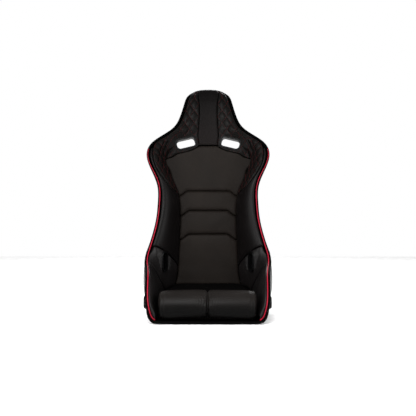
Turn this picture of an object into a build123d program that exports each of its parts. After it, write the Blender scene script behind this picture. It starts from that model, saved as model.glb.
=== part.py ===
from build123d import *

# Fixed-back racing bucket seat.
#
# A one-piece moulded fibreglass shell carries foam blocks, a sewn cover in panels, a lift-out seat
# cushion with a thigh roll, red piping, a rubber edge trim, bezels in its belt slots and steel plates
# with captive nuts for side brackets.
#
# Frame, in millimetres: X across the seat, -Y the way the driver looks, +Z up. The origin is on the
# floor, under the middle of the whole seat.
#
# The shell and the upholstery come from one idea. Stations run from the front edge of the base,
# back along the pan, up the backrest and over the head. Each station has a spine point on the middle
# plane and a rim point on the seat's edge. A section runs from the one to the other. Tracks of smooth
# splines through the station values give every section in between.

import math
import os

import numpy as np

PARTS = "parts"

# ---------------------------------------------------------------- stations
# Spine of the shell's inner face, (y, z), from the base's front edge to the top of the head.
SPINE = [
    (-286, 8), (-222, 3.5), (-150, 3.5), (-75, 3.5), (0, 3.5), (78, 12), (132, 48), (156, 110),
    (168, 185), (180, 262), (193, 340), (208, 418), (224, 496), (240, 574), (256, 652), (273, 728),
    (290, 800), (305, 862), (316, 914), (325, 956), (331, 985),
]
# Rim of the shell, (x, y, z), at the same stations.
RIM = [
    (224, -289, 46), (231, -274, 90), (234, -245, 134), (237, -198, 173), (243, -137, 193),
    (250, -74, 202), (255, -30, 222), (251, 0, 252), (239, 20, 290), (225, 38, 340), (213, 55, 400),
    (208, 72, 464), (210, 86, 530), (233, 98, 594), (259, 112, 664), (236, 152, 728),
    (160, 216, 788), (123, 257, 852), (107, 281, 908), (93, 304, 951), (60, 325, 976),
]
# Half-width of the flat middle of the shell, and the radius-like roundness of its corner.
FLAT = [211, 212, 216, 220, 224, 222, 212, 194, 176, 164, 154, 150, 156, 176, 192, 172, 116, 84, 70, 58, 42]
CORNER = [12, 24, 32, 36, 38, 46, 60, 66, 66, 64, 62, 60, 60, 62, 64, 60, 50, 44, 40, 36, 32]
# How far the shell's wall bellies outwards between its corner and its rim.
BELLY = [2, 8, 14, 19, 23, 27, 29, 23, 13, 7, 5, 5, 6, 8, 9, 7, 4, 2, 2, 1, 1]
# Padding: thickness on the middle plane, half-width of the middle panels, swell of the side bolsters.
PAD = [20, 20, 20, 20, 20, 22, 30, 36, 38, 40, 41, 41, 40, 39, 40, 42, 46, 50, 49, 42, 26]
SEAM = [195, 195, 195, 195, 195, 190, 162, 138, 132, 129, 126, 126, 137, 167, 195, 176, 110, 80, 72, 62, 46]
SWELL = [4, 8, 10, 11, 11, 12, 16, 22, 24, 25, 25, 25, 24, 22, 20, 16, 10, 8, 8, 6, 4]
# 0 where a crease divides the middle panels from the bolsters, 1 where the padding is one smooth sheet.
SMOOTH = [0, 0, 0, 0, 0, 0, 0, 0, 0, 0, 0, 0, 0, 0, 0.1, 0.75, 1, 1, 1, 1, 1]
LAST = len(SPINE) - 1
# The middle of the whole seat's length, which the finished nodes are moved onto the origin by.
MIDDLE_Y = 20.4

# ---------------------------------------------------------------- sizes
SHELL_THICKNESS = 4.5
# The sewn cover is glued down this far below the shell's edge, and leaves room for the edge trim.
COVER_FOLD = 14.0
# Padding layers, as shares of the way from the shell to the padded face.
FOAM_LOW, FOAM_HIGH = 0.03, 0.56
COVER_LOW = 0.62
# A skin is fitted to its points within the first of these that it can be, in mm.
FIT_TOLERANCES = (0.1, 0.15, 0.2, 0.3, 0.5)
# Half the open width of a sewn seam, and the clearance of parts that are fitted into one another.
SEAM_GAP = 1.0
CLEARANCE = 0.3

# Edge trim: half-thickness of its rubber outside the shell, leg below the edge, crown above it.
TRIM_WALL = 2.3
TRIM_LEG = 7.0
TRIM_CROWN = 2.6
PIPING_RADIUS = 3.4
PIPING_ENDS = (0.1, 14.7)

# Harness slots, through the padding and the shell, at (x, z) seen from the front.
HARNESS_SLOT = (84, 38)
HARNESS_PLACE = (99, 731.5)
HARNESS_AXIS = (-0.07, -0.995, 0.06)
HARNESS_TILT = 14.0
# Lap-belt slots in the hips, at a station and its share across.
LAP_SLOT = (72, 30)
LAP_PLACE = (7.0, 0.78)
LAP_AXIS = (-0.9, -0.436, 0.0)
# Bezels: width of the flange around a slot, its thickness, the wall of its tube.
FLANGE_WIDTH = 8.0
FLANGE_DEPTH = 5.0
TUBE_WALL = 2.2
REAR_FLANGE_WIDTH = 16.0
SCREW_RADIUS = 1.9
SCREW_HEAD = 3.6
SCREW_SEAT = 4.0
# Slot for the strap between the driver's legs, in the pan under the cushion.
CROTCH_SLOT = (80, 30)
CROTCH_Y = -70

# Side mounting: two M8 inserts each side, in bosses whose flat ends are this far out, front and rear.
MOUNT_X = {0: 247.0, 1: 253.0}
MOUNT_Z = 75.0
MOUNT_FRONT_Y = -215.0
MOUNT_SPACING = 290.0
BOSS_RADIUS = 23.0
BOSS_ROOT = {0: 226.0, 1: 213.0}
INSERT_RADIUS = 7.0
INSERT_BORE = 3.4
PLATE_SIZE = 52.0
PLATE_THICKNESS = 3.0

# Seat cushion and thigh roll, one lift-out piece on hook and loop tape.
CUSHION_HALF_WIDTH = 183.0
CUSHION_FRONT = -187.0
CUSHION_REAR = 104.0
ROLL_HALF_WIDTH = 186.0
COVER_THICKNESS = 3.0
# Hook tape, its top level, loop tape on the cushion, and the cushion's flat underside.
HOOKS_TOP = 7.4
LOOPS = (7.75, 9.5)
CUSHION_LOW = 9.8
TAPE_PLACES = [(-110, -135), (110, -135), (-110, -30), (110, -30)]
TAPE_SIZE = (60, 100)

# Seams across the lumbar pads: height on the middle plane and how far they drop at their ends.
LUMBAR_SEAMS = [(6.55, 0.0), (9.6, 0.34), (10.99, 0.33), (12.16, 0.31)]
# Outline of the quilted panels. Their inner side climbs the crease at these stations, then goes
# through these points, (x, z) seen from the front, in over the shoulder and up beside the strip.
QUILT_CREASE = [11.87, 12.25, 12.93, 13.6]
QUILT_INNER = [
    (190, 647), (174, 664), (140, 682), (92, 694), (50, 714), (43.5, 745), (42, 820), (41, 912),
]
# Their outer side: a tip at the waist, the points of a band over the bolster, then the cover's edge.
QUILT_TIP = (11.81, 0.54)
QUILT_OUTER = [(160, 532), (206, 590), (232, 640), (238, 680)]
QUILT_EDGE = [15.0, 15.4, 15.8, 16.2, 16.8, 17.6, 18.6]
QUILT_TOP = 19.75


class Track:
    """A natural cubic spline through one value, or one row of values, per station."""

    def __init__(self, values):
        self.values = np.asarray(values, float).reshape(len(values), -1)
        count = len(self.values)
        matrix = np.eye(count)
        right = np.zeros_like(self.values)
        for i in range(1, count - 1):
            matrix[i, i - 1 : i + 2] = (1, 4, 1)
            right[i] = 6 * (self.values[i - 1] - 2 * self.values[i] + self.values[i + 1])
        self.bends = np.linalg.solve(matrix, right)

    def __call__(self, s):
        s = np.clip(np.asarray(s, float), 0, len(self.values) - 1)
        low = np.minimum(s.astype(int), len(self.values) - 2)
        t = (s - low)[..., None]
        a, b = self.values[low], self.values[low + 1]
        c, d = self.bends[low], self.bends[low + 1]
        line = a * (1 - t) + b * t
        curve = ((1 - t) ** 3 - (1 - t)) * c / 6 + (t**3 - t) * d / 6
        return line + curve


SPINE_TRACK = Track(SPINE)
RIM_TRACK = Track(RIM)
SHAPE_TRACK = Track(list(zip(FLAT, CORNER, BELLY, PAD, SEAM, SWELL, SMOOTH)))


def frame_at(s):
    """Spine point, rise direction in the middle plane, and the rim's half-width and height above it."""
    spine, rim = SPINE_TRACK(s), RIM_TRACK(s)
    rise = rim[..., 1:] - spine
    height = np.linalg.norm(rise, axis=-1)
    return spine, rise / height[..., None], rim[..., 0], height


def bent_section(u, flat, end_x, end_h, corner, belly):
    """(x, h) at u from 0 to 1: level out to flat, then a wall up to (end_x, end_h), round at the corner."""
    wall = np.hypot(end_x - flat, end_h)
    total = flat + wall
    path = u * total

    def ramp(p):
        both = np.sqrt((p - flat) ** 2 + corner**2) + np.sqrt((p + flat) ** 2 + corner**2)
        return both / 2 - np.sqrt(flat**2 + corner**2)

    climbed = ramp(path) / ramp(total) * wall
    share = climbed / wall
    bulge = belly * np.sin(np.pi * share)
    x = path - climbed + share * (end_x - flat) + bulge * end_h / wall
    h = share * end_h - bulge * (end_x - flat) / wall
    return x, h


def in_space(s, x, h):
    """The point of the seat frame at station s, x across and h up the section."""
    spine, rise, _, _ = frame_at(s)
    return np.stack(
        [x, spine[..., 0] + rise[..., 0] * h, spine[..., 1] + rise[..., 1] * h], axis=-1
    )


def shell_point(s, u):
    """Inner face of the shell: u is 0 on the middle plane, 1 at the rim, negative on the left."""
    s, u = np.broadcast_arrays(np.asarray(s, float), np.asarray(u, float))
    _, _, rim_x, height = frame_at(s)
    flat, corner, belly = np.moveaxis(SHAPE_TRACK(s)[..., :3], -1, 0)
    x, h = bent_section(np.abs(u), flat, rim_x, height, corner, belly)
    return in_space(s, np.sign(u) * x, h)


def normals(surface, s, u):
    """Unit normals of a surface, towards the driver."""
    step = 1e-3
    along = surface(s + step, u) - surface(s - step, u)
    across = surface(s, u + step) - surface(s, u - step)
    normal = np.cross(across, along)
    return normal / np.linalg.norm(normal, axis=-1)[..., None]


def edge_point(s):
    """Where the sewn cover ends beside the rim, as (x, h) up the section."""
    _, _, rim_x, height = frame_at(s)
    return rim_x - 7.4, height + 4.0


def face_section(s, u):
    """(x, h) of the padded face that the driver touches, at u from 0 on the middle plane to 1."""
    pad, seam, swell, smooth = np.moveaxis(SHAPE_TRACK(s)[..., 3:], -1, 0)
    smooth = np.clip(smooth, 0, 1)
    end_x, end_h = edge_point(s)
    # Creased: level to the seam, then a bolster that is a chord with half an ellipse on it.
    turn = np.clip(2 * u - 1, 0, 1) * np.pi
    v = (1 - np.cos(turn)) / 2
    puff = swell * np.sin(turn) * (1 - 0.3 * np.cos(turn))
    chord_x, chord_h = end_x - seam, end_h - pad
    chord = np.hypot(chord_x, chord_h)
    middle = np.minimum(2 * u, 1)
    creased_x = seam * middle + chord_x * v - puff * chord_h / chord
    creased_h = pad + chord_h * v + puff * chord_x / chord
    # Smooth: one bent sheet.
    soft_x, soft_h = bent_section(u, seam, end_x, end_h - pad, 60.0, -swell)
    x = creased_x * (1 - smooth) + soft_x * smooth
    h = creased_h * (1 - smooth) + (pad + soft_h) * smooth
    return x, h


def face_point(s, u):
    """The padded face, u from -1 on the left edge of the cover to 1 on the right."""
    s, u = np.broadcast_arrays(np.asarray(s, float), np.asarray(u, float))
    x, h = face_section(s, np.abs(u))
    return in_space(s, np.sign(u) * x, h)


def under_point(s, u):
    """The shell's inner face under the same (s, u) of the padded face."""
    s, u = np.broadcast_arrays(np.asarray(s, float), np.asarray(u, float))
    _, _, rim_x, height = frame_at(s)
    values = SHAPE_TRACK(s)
    flat, seam, smooth = values[..., 0], values[..., 4], np.clip(values[..., 6], 0, 1)
    total = flat + np.hypot(rim_x - flat, height)
    edge = (total - COVER_FOLD) / total
    middle = np.minimum(seam / total, 0.8)
    a = np.abs(u)
    creased = np.where(a < 0.5, 2 * a * middle, middle + (2 * a - 1) * (edge - middle))
    share = creased * (1 - smooth) + a * edge * smooth
    return shell_point(s, np.sign(u) * share)


# ---------------------------------------------------------------- turning surfaces into solids
def skin(grid):
    rows = [[Vector(*map(float, point)) for point in row] for row in grid]
    for tolerance in FIT_TOLERANCES:
        try:
            face = Face.make_surface_from_array_of_points(
                rows, tol=tolerance, smoothing=(1, 1, 1), min_deg=3, max_deg=5
            )
        except ValueError:
            continue
        return face
    raise ValueError("no smooth face fits this grid")


def edge_along(face, run):
    """The edge of a skin that follows one border row of its grid."""
    start, middle, end = (Vector(*map(float, run[i])) for i in (0, len(run) // 2, -1))

    def miss(edge):
        forward = (edge @ 0 - start).length + (edge @ 1 - end).length
        backward = (edge @ 1 - start).length + (edge @ 0 - end).length
        return min(forward, backward) + (edge @ 0.5 - middle).length

    return min(face.edges(), key=miss)


def block_between(lower, upper):
    """A solid between two grids of points of the same shape, closed by ruled sides."""
    bottom, top = skin(lower), skin(upper)
    faces = [bottom, top]
    for low_run, high_run in (
        (lower[0], upper[0]),
        (lower[-1], upper[-1]),
        (lower[:, 0], upper[:, 0]),
        (lower[:, -1], upper[:, -1]),
    ):
        pair = edge_along(bottom, low_run), edge_along(top, high_run)
        faces.append(Face.make_surface_from_curves(*pair))
    return Solid(Shell(faces))


def layer(inner, outer, low, high, gap, rows, columns):
    """Padding between two runs of (s, u) points.

    It lies from low to high, as shares of the way from the shell to the padded face, and stays a
    gap in mm inside the outline that the runs and their ends make.
    """

    def at(v, w):
        a, b = inner(v), outer(v)
        s, u = np.moveaxis(a + (b - a) * w[..., None], -1, 0)
        return s, np.clip(u, -1, 1)

    # Rows at even distances along the two sides.
    fine = np.linspace(0, 1, 300)[:, None]
    left, right = face_point(*at(fine, fine * 0))[:, 0], face_point(*at(fine, fine * 0 + 1))[:, 0]
    steps = np.linalg.norm(np.diff(left, axis=0), axis=-1) + np.linalg.norm(np.diff(right, axis=0), axis=-1)
    along = np.concatenate([[0], np.cumsum(steps)]) / 2
    even = np.linspace(gap, along[-1] - gap, rows)
    v = np.interp(even, along, fine[:, 0])[:, None]
    width = np.interp(even, along, np.linalg.norm(left - right, axis=-1))[:, None]
    w = gap / width + np.linspace(0, 1, columns)[None, :] * (1 - 2 * gap / width)
    s, u = at(np.broadcast_to(v, w.shape), w)
    under, face = under_point(s, u), face_point(s, u)
    return block_between(under + low * (face - under), under + high * (face - under))


def run(points):
    """A smooth run through (s, u) points, for v from 0 to 1."""
    track = Track(points)
    return lambda v: track(v * (len(points) - 1))


def straight(u, low, high):
    """A run up one line of constant u, between two stations."""
    return run([(low + (high - low) * i / 4, u) for i in range(5)])


def band_layer(start, end, low, high, gap, rows):
    """Padding from the crease to the cover's edge, between two stations."""
    inner, outer = straight(0.5, start, end), straight(1.0, start, end)
    return layer(inner, outer, low, high, gap, rows=rows, columns=17)


def mirrored(part):
    return mirror(part, about=Plane.YZ)


def place(x, z):
    """(s, u) of the padded face's point with this x and z, for u from 0 to 1 on the backrest."""
    s, u = np.meshgrid(np.linspace(8, LAST, 241), np.linspace(0, 1, 101), indexing="ij")
    miss = np.hypot(*(face_point(s, u)[..., (0, 2)] - (x, z)).T).T
    best = np.unravel_index(miss.argmin(), miss.shape)
    at = np.array([s[best], u[best]])
    for _ in range(6):
        here = face_point(at[0], at[1])[[0, 2]]
        step = 1e-4
        slope_s = (face_point(at[0] + step, at[1])[[0, 2]] - here) / step
        slope_u = (face_point(at[0], at[1] + step)[[0, 2]] - here) / step
        move = np.linalg.solve(np.stack([slope_s, slope_u], axis=-1), np.array([x, z]) - here)
        at = np.clip(at + 0.7 * move, (8, 0), (LAST, 1))
    return tuple(at)


# ---------------------------------------------------------------- shell
def shell_grids(rows, columns):
    s, u = np.meshgrid(np.linspace(0, LAST, rows), np.linspace(-1, 1, columns), indexing="ij")
    inner = shell_point(s, u)
    across = normals(shell_point, np.clip(s, 0.01, LAST - 0.01), np.clip(u, -0.995, 0.995))
    return inner - SHELL_THICKNESS * across, inner


def mount_positions():
    return [(0, MOUNT_FRONT_Y), (1, MOUNT_FRONT_Y + MOUNT_SPACING)]


def along_x(x, y, z):
    return Plane(origin=(x, y, z), x_dir=(0, 1, 0), z_dir=(1, 0, 0))


def boss(which, y):
    root = BOSS_ROOT[which]
    depth = MOUNT_X[which] - root
    return Solid.make_cone(BOSS_RADIUS + 9, BOSS_RADIUS, depth, along_x(root, y, MOUNT_Z))


def shell_solid():
    outer, inner = shell_grids(81, 61)
    solid = block_between(outer, inner)
    floor = Box(800, 800, 60, align=(Align.CENTER, Align.CENTER, Align.MAX))
    solid = solid - floor
    for which, y in mount_positions():
        right = boss(which, y)
        for cone in (right, mirrored(right)):
            solid = solid + cone
    return solid


# ---------------------------------------------------------------- slots and bezels
def harness_plane():
    s, u = place(*HARNESS_PLACE)
    tilt = math.radians(HARNESS_TILT)
    across = Vector(math.cos(tilt), 0, -math.sin(tilt))
    return slot_plane(face_point(s, u), Vector(*HARNESS_AXIS).normalized(), across)


def lap_plane():
    return slot_plane(face_point(*LAP_PLACE), Vector(*LAP_AXIS).normalized(), Vector(0, 0, 1))


def slot_plane(point, axis, across):
    """A plane on the padded face, its z towards the driver and its x along the slot."""
    return Plane(origin=tuple(map(float, point)), x_dir=across - axis * across.dot(axis), z_dir=axis)


def ring_prism(plane, size, grow, low, high):
    """A rounded prism, grow mm outside a slot all round, between two levels above its plane."""
    width, height = size[0] + 2 * grow, size[1] + 2 * grow
    outline = RectangleRounded(width, height, min(height * 0.46, size[1] * 0.4 + grow))
    return extrude(plane * Pos(0, 0, low) * outline, high - low, dir=plane.z_dir)


def depth_to_shell(plane, share):
    """How far the shell's inner face is under the plane's origin."""
    s, u = np.meshgrid(np.linspace(5, LAST, 900), np.linspace(0, 1, 300), indexing="ij")
    points = shell_point(s, u) - np.array(tuple(plane.origin))
    axis = np.array(tuple(plane.z_dir))
    depth = -points @ axis
    off = np.linalg.norm(points + depth[..., None] * axis, axis=-1)
    return float(depth.flat[off.argmin()]) * share


def bezel_parts(plane, size, shell):
    """Front bezel, both rear bezels and the screws of one slot, and the holes they need."""
    depth = depth_to_shell(plane, 1.0)
    back = -depth - SHELL_THICKNESS
    flange = ring_prism(plane, size, FLANGE_WIDTH, -FLANGE_DEPTH, 2.0)
    rim = flange.edges().sort_by(lambda e: -(e.center() - plane.origin).dot(plane.z_dir))
    flange = fillet(rim[:8], 1.6)
    front = flange + ring_prism(plane, size, TUBE_WALL, back - 3, 0)
    front = front - ring_prism(plane, size, 0, back - 30, 30)
    rear = ring_prism(plane, size, REAR_FLANGE_WIDTH, back - 8, back + 14)
    rear = rear - ring_prism(plane, size, TUBE_WALL + CLEARANCE / 2, back - 30, 30)
    offset = (REAR_FLANGE_WIDTH + TUBE_WALL) / 2
    spots = [
        (size[0] / 2 + offset, 0), (-size[0] / 2 - offset, 0),
        (0, size[1] / 2 + offset), (0, -size[1] / 2 - offset),
    ]
    screws, holes, seats = [], [], []
    forwards = (Align.CENTER, Align.CENTER, Align.MIN)
    backwards = (Align.CENTER, Align.CENTER, Align.MAX)
    for x, y in spots:
        under_head = plane * Pos(x, y, back - 8)
        shank = under_head * Cylinder(SCREW_RADIUS, 17, align=forwards)
        head = under_head * Cylinder(SCREW_HEAD, 2.2, align=backwards)
        screws.append((shank + head).solid())
        holes.append(under_head * Pos(0, 0, -8) * Cylinder(SCREW_RADIUS + 0.1, 34, align=forwards))
        seats.append(under_head * Cylinder(SCREW_SEAT, 12, align=backwards))
    for hole in holes:
        rear = rear - hole
    rears = []
    for block in (rear, mirrored(rear)):
        pieces = (block - shell).solids()
        rears.append(min(pieces, key=lambda piece: behind(piece, plane)))
    return front, rears, screws, holes + seats


def behind(piece, plane):
    """How far in front of a slot's plane a piece is, on whichever side of the seat."""
    center = piece.center()
    return (Vector(abs(center.X), center.Y, center.Z) - plane.origin).dot(plane.z_dir)


# ---------------------------------------------------------------- edge trim and piping
def rim_frames(s, side):
    """Middle of the shell's edge, its normal towards the driver and the way out of the edge."""
    u = np.full_like(s, side)
    inside = np.clip(s, 0.01, LAST - 0.01)
    normal = normals(shell_point, inside, u * 0.999)
    step = 1e-3
    tangent = shell_point(np.clip(inside + step, 0, LAST), u) - shell_point(inside - step, u)
    out = np.cross(tangent, normal) * side
    out /= np.linalg.norm(out, axis=-1)[:, None]
    outwards = shell_point(s, u) - shell_point(s, u * 0.98)
    out *= np.sign((out * outwards).sum(axis=-1))[:, None]
    return shell_point(s, u) - SHELL_THICKNESS / 2 * normal, normal, out


def end_frames(u, station):
    """The same along the shell's end at its first or last station."""
    s = np.full_like(u, station)
    inside = np.clip(s, 0.01, LAST - 0.01)
    normal = normals(shell_point, inside, np.clip(u, -0.999, 0.999))
    step = 1e-3
    tangent = shell_point(s, np.clip(u + step, -1, 1)) - shell_point(s, np.clip(u - step, -1, 1))
    out = np.cross(tangent, normal)
    out /= np.linalg.norm(out, axis=-1)[:, None]
    outwards = shell_point(s, u) - shell_point(np.full_like(u, 0.02 if station == 0 else LAST - 0.02), u)
    out *= np.sign((out * outwards).sum(axis=-1))[:, None]
    return shell_point(s, u) - SHELL_THICKNESS / 2 * normal, normal, out


def trim_solid():
    """A rubber channel that runs round the whole edge of the shell, mitred at four corners."""
    half = SHELL_THICKNESS / 2 + 0.15
    wide = half + TRIM_WALL
    profile = [
        (-wide, -TRIM_LEG), (-wide, TRIM_CROWN), (wide, TRIM_CROWN), (wide, -TRIM_LEG),
        (half, -TRIM_LEG), (half, 0.2), (-half, 0.2), (-half, -TRIM_LEG),
    ]
    sides = [
        rim_frames(np.linspace(0, LAST, 61), 1.0),
        end_frames(np.linspace(1, -1, 21), LAST),
        rim_frames(np.linspace(LAST, 0, 61), -1.0),
        end_frames(np.linspace(-1, 1, 31), 0),
    ]
    runs = []
    for middle, normal, out in sides:
        runs.append([middle.copy(), normal.copy(), out.copy()])
    for i in range(4):
        one, two = runs[i], runs[(i + 1) % 4]
        middle = (one[0][-1] + two[0][0]) / 2
        normal = one[1][-1] + two[1][0]
        normal /= np.linalg.norm(normal)
        bisector = one[2][-1] + two[2][0]
        bisector -= normal * (bisector @ normal)
        bisector /= np.linalg.norm(bisector)
        stretched = bisector / max(float(bisector @ one[2][-1]), 0.6)
        for side, end in ((one, -1), (two, 0)):
            side[0][end], side[1][end], side[2][end] = middle, normal, stretched
    rails = []
    for middle, normal, out in runs:
        rails.append([middle + a * normal + b * out for a, b in profile])
    faces = [face for corners in rails for face in bar_faces(corners)]
    return Solid(Shell(faces))


def bar_faces(corners):
    """Ruled faces between the smooth edges that the corners of a bar's profile run along."""
    edges = [Edge.make_spline([Vector(*map(float, point)) for point in points]) for points in corners]
    return [Face.make_surface_from_curves(edge, edges[i - 1]) for i, edge in enumerate(edges)]


def piping_solid():
    """The red piping between cover and trim, on the right side: a bar of twelve flats."""
    s = np.linspace(*PIPING_ENDS, 50)
    middle, normal, out = rim_frames(s, 1.0)
    center = middle + 5.6 * normal + (TRIM_CROWN + PIPING_RADIUS + 0.2) * out
    turns = [2 * math.pi * i / 12 for i in range(12)]
    corners = [center + PIPING_RADIUS * (math.cos(a) * normal + math.sin(a) * out) for a in turns]
    faces = bar_faces(corners)
    for end in (0, -1):
        faces.append(Face(Wire.make_polygon([Vector(*map(float, points[end])) for points in corners])))
    return Solid(Shell(faces))


# ---------------------------------------------------------------- seat cushion
def cushion_solid(inset):
    """The flat part of the cushion, inset mm inside its cover's surface."""
    half, rear = CUSHION_HALF_WIDTH - inset, CUSHION_REAR - inset
    corner = [
        (half, 0), (half - 3, 24), (half - 17, 50), (half - 34, 72), (half - 53, 89), (half - 80, rear - 3),
    ]
    right = Spline(*corner, tangents=[(0, 1), (-1, 0.1)])
    left = Spline(*[(-x, y) for x, y in reversed(corner)], tangents=[(-1, -0.1), (0, -1)])
    outline = [
        Line((-half, CUSHION_FRONT + inset), (half, CUSHION_FRONT + inset)),
        Line((half, CUSHION_FRONT + inset), corner[0]),
        right,
        Line(corner[-1], (-corner[-1][0], corner[-1][1])),
        left,
        Line((-half, 0), (-half, CUSHION_FRONT + inset)),
    ]
    plan = make_face(outline)
    low = CUSHION_LOW + inset
    block = extrude(plan, 140, dir=(0, 0, 1))
    top = [
        (CUSHION_FRONT + inset, 104 - inset), (-150, 109 - inset), (-90, 112 - inset), (-20, 113 - inset),
        (50, 112 - inset), (rear + 1, 107 - inset),
    ]
    side = make_face([
        Spline(*top),
        Line(top[-1], (rear + 1, 62 + inset)),
        Line((rear + 1, 62 + inset), (34 - inset, low)),
        Line((34 - inset, low), (CUSHION_FRONT + inset, low)),
        Line((CUSHION_FRONT + inset, low), top[0]),
    ])
    lengthwise = Plane(origin=(-300, 0, 0), x_dir=(0, 1, 0), z_dir=(1, 0, 0))
    solid = block & extrude(lengthwise * side, 600, dir=(1, 0, 0))
    rim = [edge for edge in solid.edges() if edge.center().Z > 95 - inset]
    return fillet(rim, 12 - inset).solid()


def roll_solid(inset):
    """The thigh roll across the front of the cushion."""
    back = CUSHION_FRONT - 1.5 - inset
    low = 14 + inset
    outline = [
        (back, 103 - inset), (-205, 116 - inset), (-232, 122.5 - inset), (-262, 117 - inset),
        (-286 + inset, 96), (-297 + inset, 66), (-291 + inset, 36), (-272, low), (-248, low),
    ]
    side = make_face([
        Spline(*outline),
        Line(outline[-1], (back, low)),
        Line((back, low), outline[0]),
    ])
    half = ROLL_HALF_WIDTH - inset
    lengthwise = Plane(origin=(-half, 0, 0), x_dir=(0, 1, 0), z_dir=(1, 0, 0))
    solid = extrude(lengthwise * side, 2 * half, dir=(1, 0, 0)).solid()
    ends = [edge for edge in solid.edges() if abs(abs(edge.center().X) - half) < 0.01]
    return fillet(ends, 14 - inset).solid()


def tape(x, y, low, high):
    width, length = TAPE_SIZE
    strip = Box(width, length, high - low, align=(Align.CENTER, Align.CENTER, Align.MIN))
    return Pos(x, y, low) * strip


# ---------------------------------------------------------------- padding
def across_seam(index):
    """A lumbar seam as a function: the station at a share u, level in the middle, dropping at the ends."""
    station, drop = LUMBAR_SEAMS[index]

    def at(u):
        t = np.clip((np.abs(u) * 2 - 0.62) / 0.38, 0, 1)
        return station - drop * t * t * (3 - 2 * t)

    return at


def lumbar_grid(low_seam, high_seam, rows, columns, high, low):
    """A lumbar pad between two seams."""
    lower, upper = across_seam(low_seam), across_seam(high_seam)
    inset_u, inset_s = 0.5 * SEAM_GAP / 130, SEAM_GAP / 78
    u = np.linspace(-0.5 + inset_u, 0.5 - inset_u, columns)[None, :]
    v = np.linspace(0, 1, rows)[:, None]
    s = lower(u) + inset_s + (upper(u) - lower(u) - 2 * inset_s) * v
    s, u = np.broadcast_arrays(s, u)
    under, face = under_point(s, u), face_point(s, u)
    return block_between(under + low * (face - under), under + high * (face - under))


def quilt_runs():
    """The quilted panel's inner and outer runs, as lists of (s, u)."""
    inner = [(s, 0.5) for s in QUILT_CREASE] + [place(x, z) for x, z in QUILT_INNER]
    inner.append((QUILT_TOP, 0.62))
    outer = [QUILT_TIP] + [place(x, z) for x, z in QUILT_OUTER]
    outer += [(s, 1.0) for s in QUILT_EDGE] + [(QUILT_TOP, 1.0)]
    return inner, outer


def padding():
    """Every cover panel and foam block on the shell, by node name."""
    inner, outer = quilt_runs()
    count = len(outer)
    cover = {"low": COVER_LOW, "high": 1.0, "gap": SEAM_GAP}
    foam = {"low": FOAM_LOW, "high": FOAM_HIGH, "gap": 4.0}
    parts = {}
    right = {}
    right["quilted_panel"] = layer(run(inner), run(outer), **cover, rows=49, columns=15)
    band = run(outer)(np.linspace(0, 4.5 / (count - 1), 60))
    crease = [np.array([(7.7, 0.5), (11.4, 0.5)]), band]
    waist = np.concatenate(crease)
    reach = np.concatenate([[0, 0.5], np.linspace(0.56, 1, 60)])

    def bolster_inner(v):
        return np.stack([np.interp(v, reach, waist[:, 0]), np.interp(v, reach, waist[:, 1])], axis=-1)

    def bolster_outer(v):
        return np.stack([np.interp(v, reach, waist[:, 0]), np.ones_like(v)], axis=-1)

    right["back_bolster"] = layer(
        bolster_inner, bolster_outer, COVER_LOW, 1.0, 2 * SEAM_GAP, rows=49, columns=17
    )
    right["thigh_bolster"] = band_layer(0.2, 5.6, **cover, rows=33)
    right["hip_pad"] = band_layer(5.62, 7.68, **cover, rows=17)
    right["thigh_foam"] = band_layer(0.4, 5.55, **foam, rows=33)
    right["hip_foam"] = band_layer(5.62, 7.68, **foam, rows=17)
    right["bolster_foam"] = band_layer(7.7, 14.0, **foam, rows=33)
    for name, solid in right.items():
        parts[name + "_right"] = solid
        parts[name + "_left"] = mirrored(solid)
    for index, name in enumerate(("lumbar_panel_lower", "lumbar_panel_middle", "lumbar_panel_upper")):
        parts[name] = lumbar_grid(index, index + 1, 21, 25, 1.0, COVER_LOW)
    # The upper back panel: level rungs between the quilted panels' inner seams, over the top lumbar seam.
    w = np.linspace(-1, 1, 25)[None, :]
    side = run(inner)(np.linspace(0, 8.3 / (count - 1), 200))
    level = across_seam(3)(0.5 * w) + SEAM_GAP / 78
    start, end = side[0, 0], side[-1, 0]
    edge_s = np.linspace(start, end, 37)[:, None]
    edge_u = np.interp(edge_s, side[:, 0], side[:, 1])
    s = level + (end - SEAM_GAP / 76 - level) * (edge_s - start) / (end - start)
    u = w * (edge_u - 1.2 * SEAM_GAP / 260)
    under, face = under_point(s, u), face_point(s, u)
    parts["upper_back_panel"] = block_between(under + COVER_LOW * (face - under), face)
    # The smooth strip up the middle of the headrest.
    low = 8.4 / (count - 1)

    def strip_side(sign):
        return lambda v: run(inner)(low + v * (1 - low)) * (1, sign)

    parts["head_strip"] = layer(strip_side(-1), strip_side(1), **cover, rows=37, columns=15)
    left, right = straight(-0.5, 6.6, 14.0), straight(0.5, 6.6, 14.0)
    parts["back_foam"] = layer(left, right, **foam, rows=41, columns=25)
    left, right = straight(-1.0, 14.0, 19.6), straight(1.0, 14.0, 19.6)
    parts["head_foam"] = layer(left, right, **foam, rows=31, columns=41)
    return parts


# ---------------------------------------------------------------- the whole seat
def cut(solid, tools):
    for tool in tools:
        solid = solid - tool
    return max(solid.solids(), key=lambda piece: piece.volume)


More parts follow.
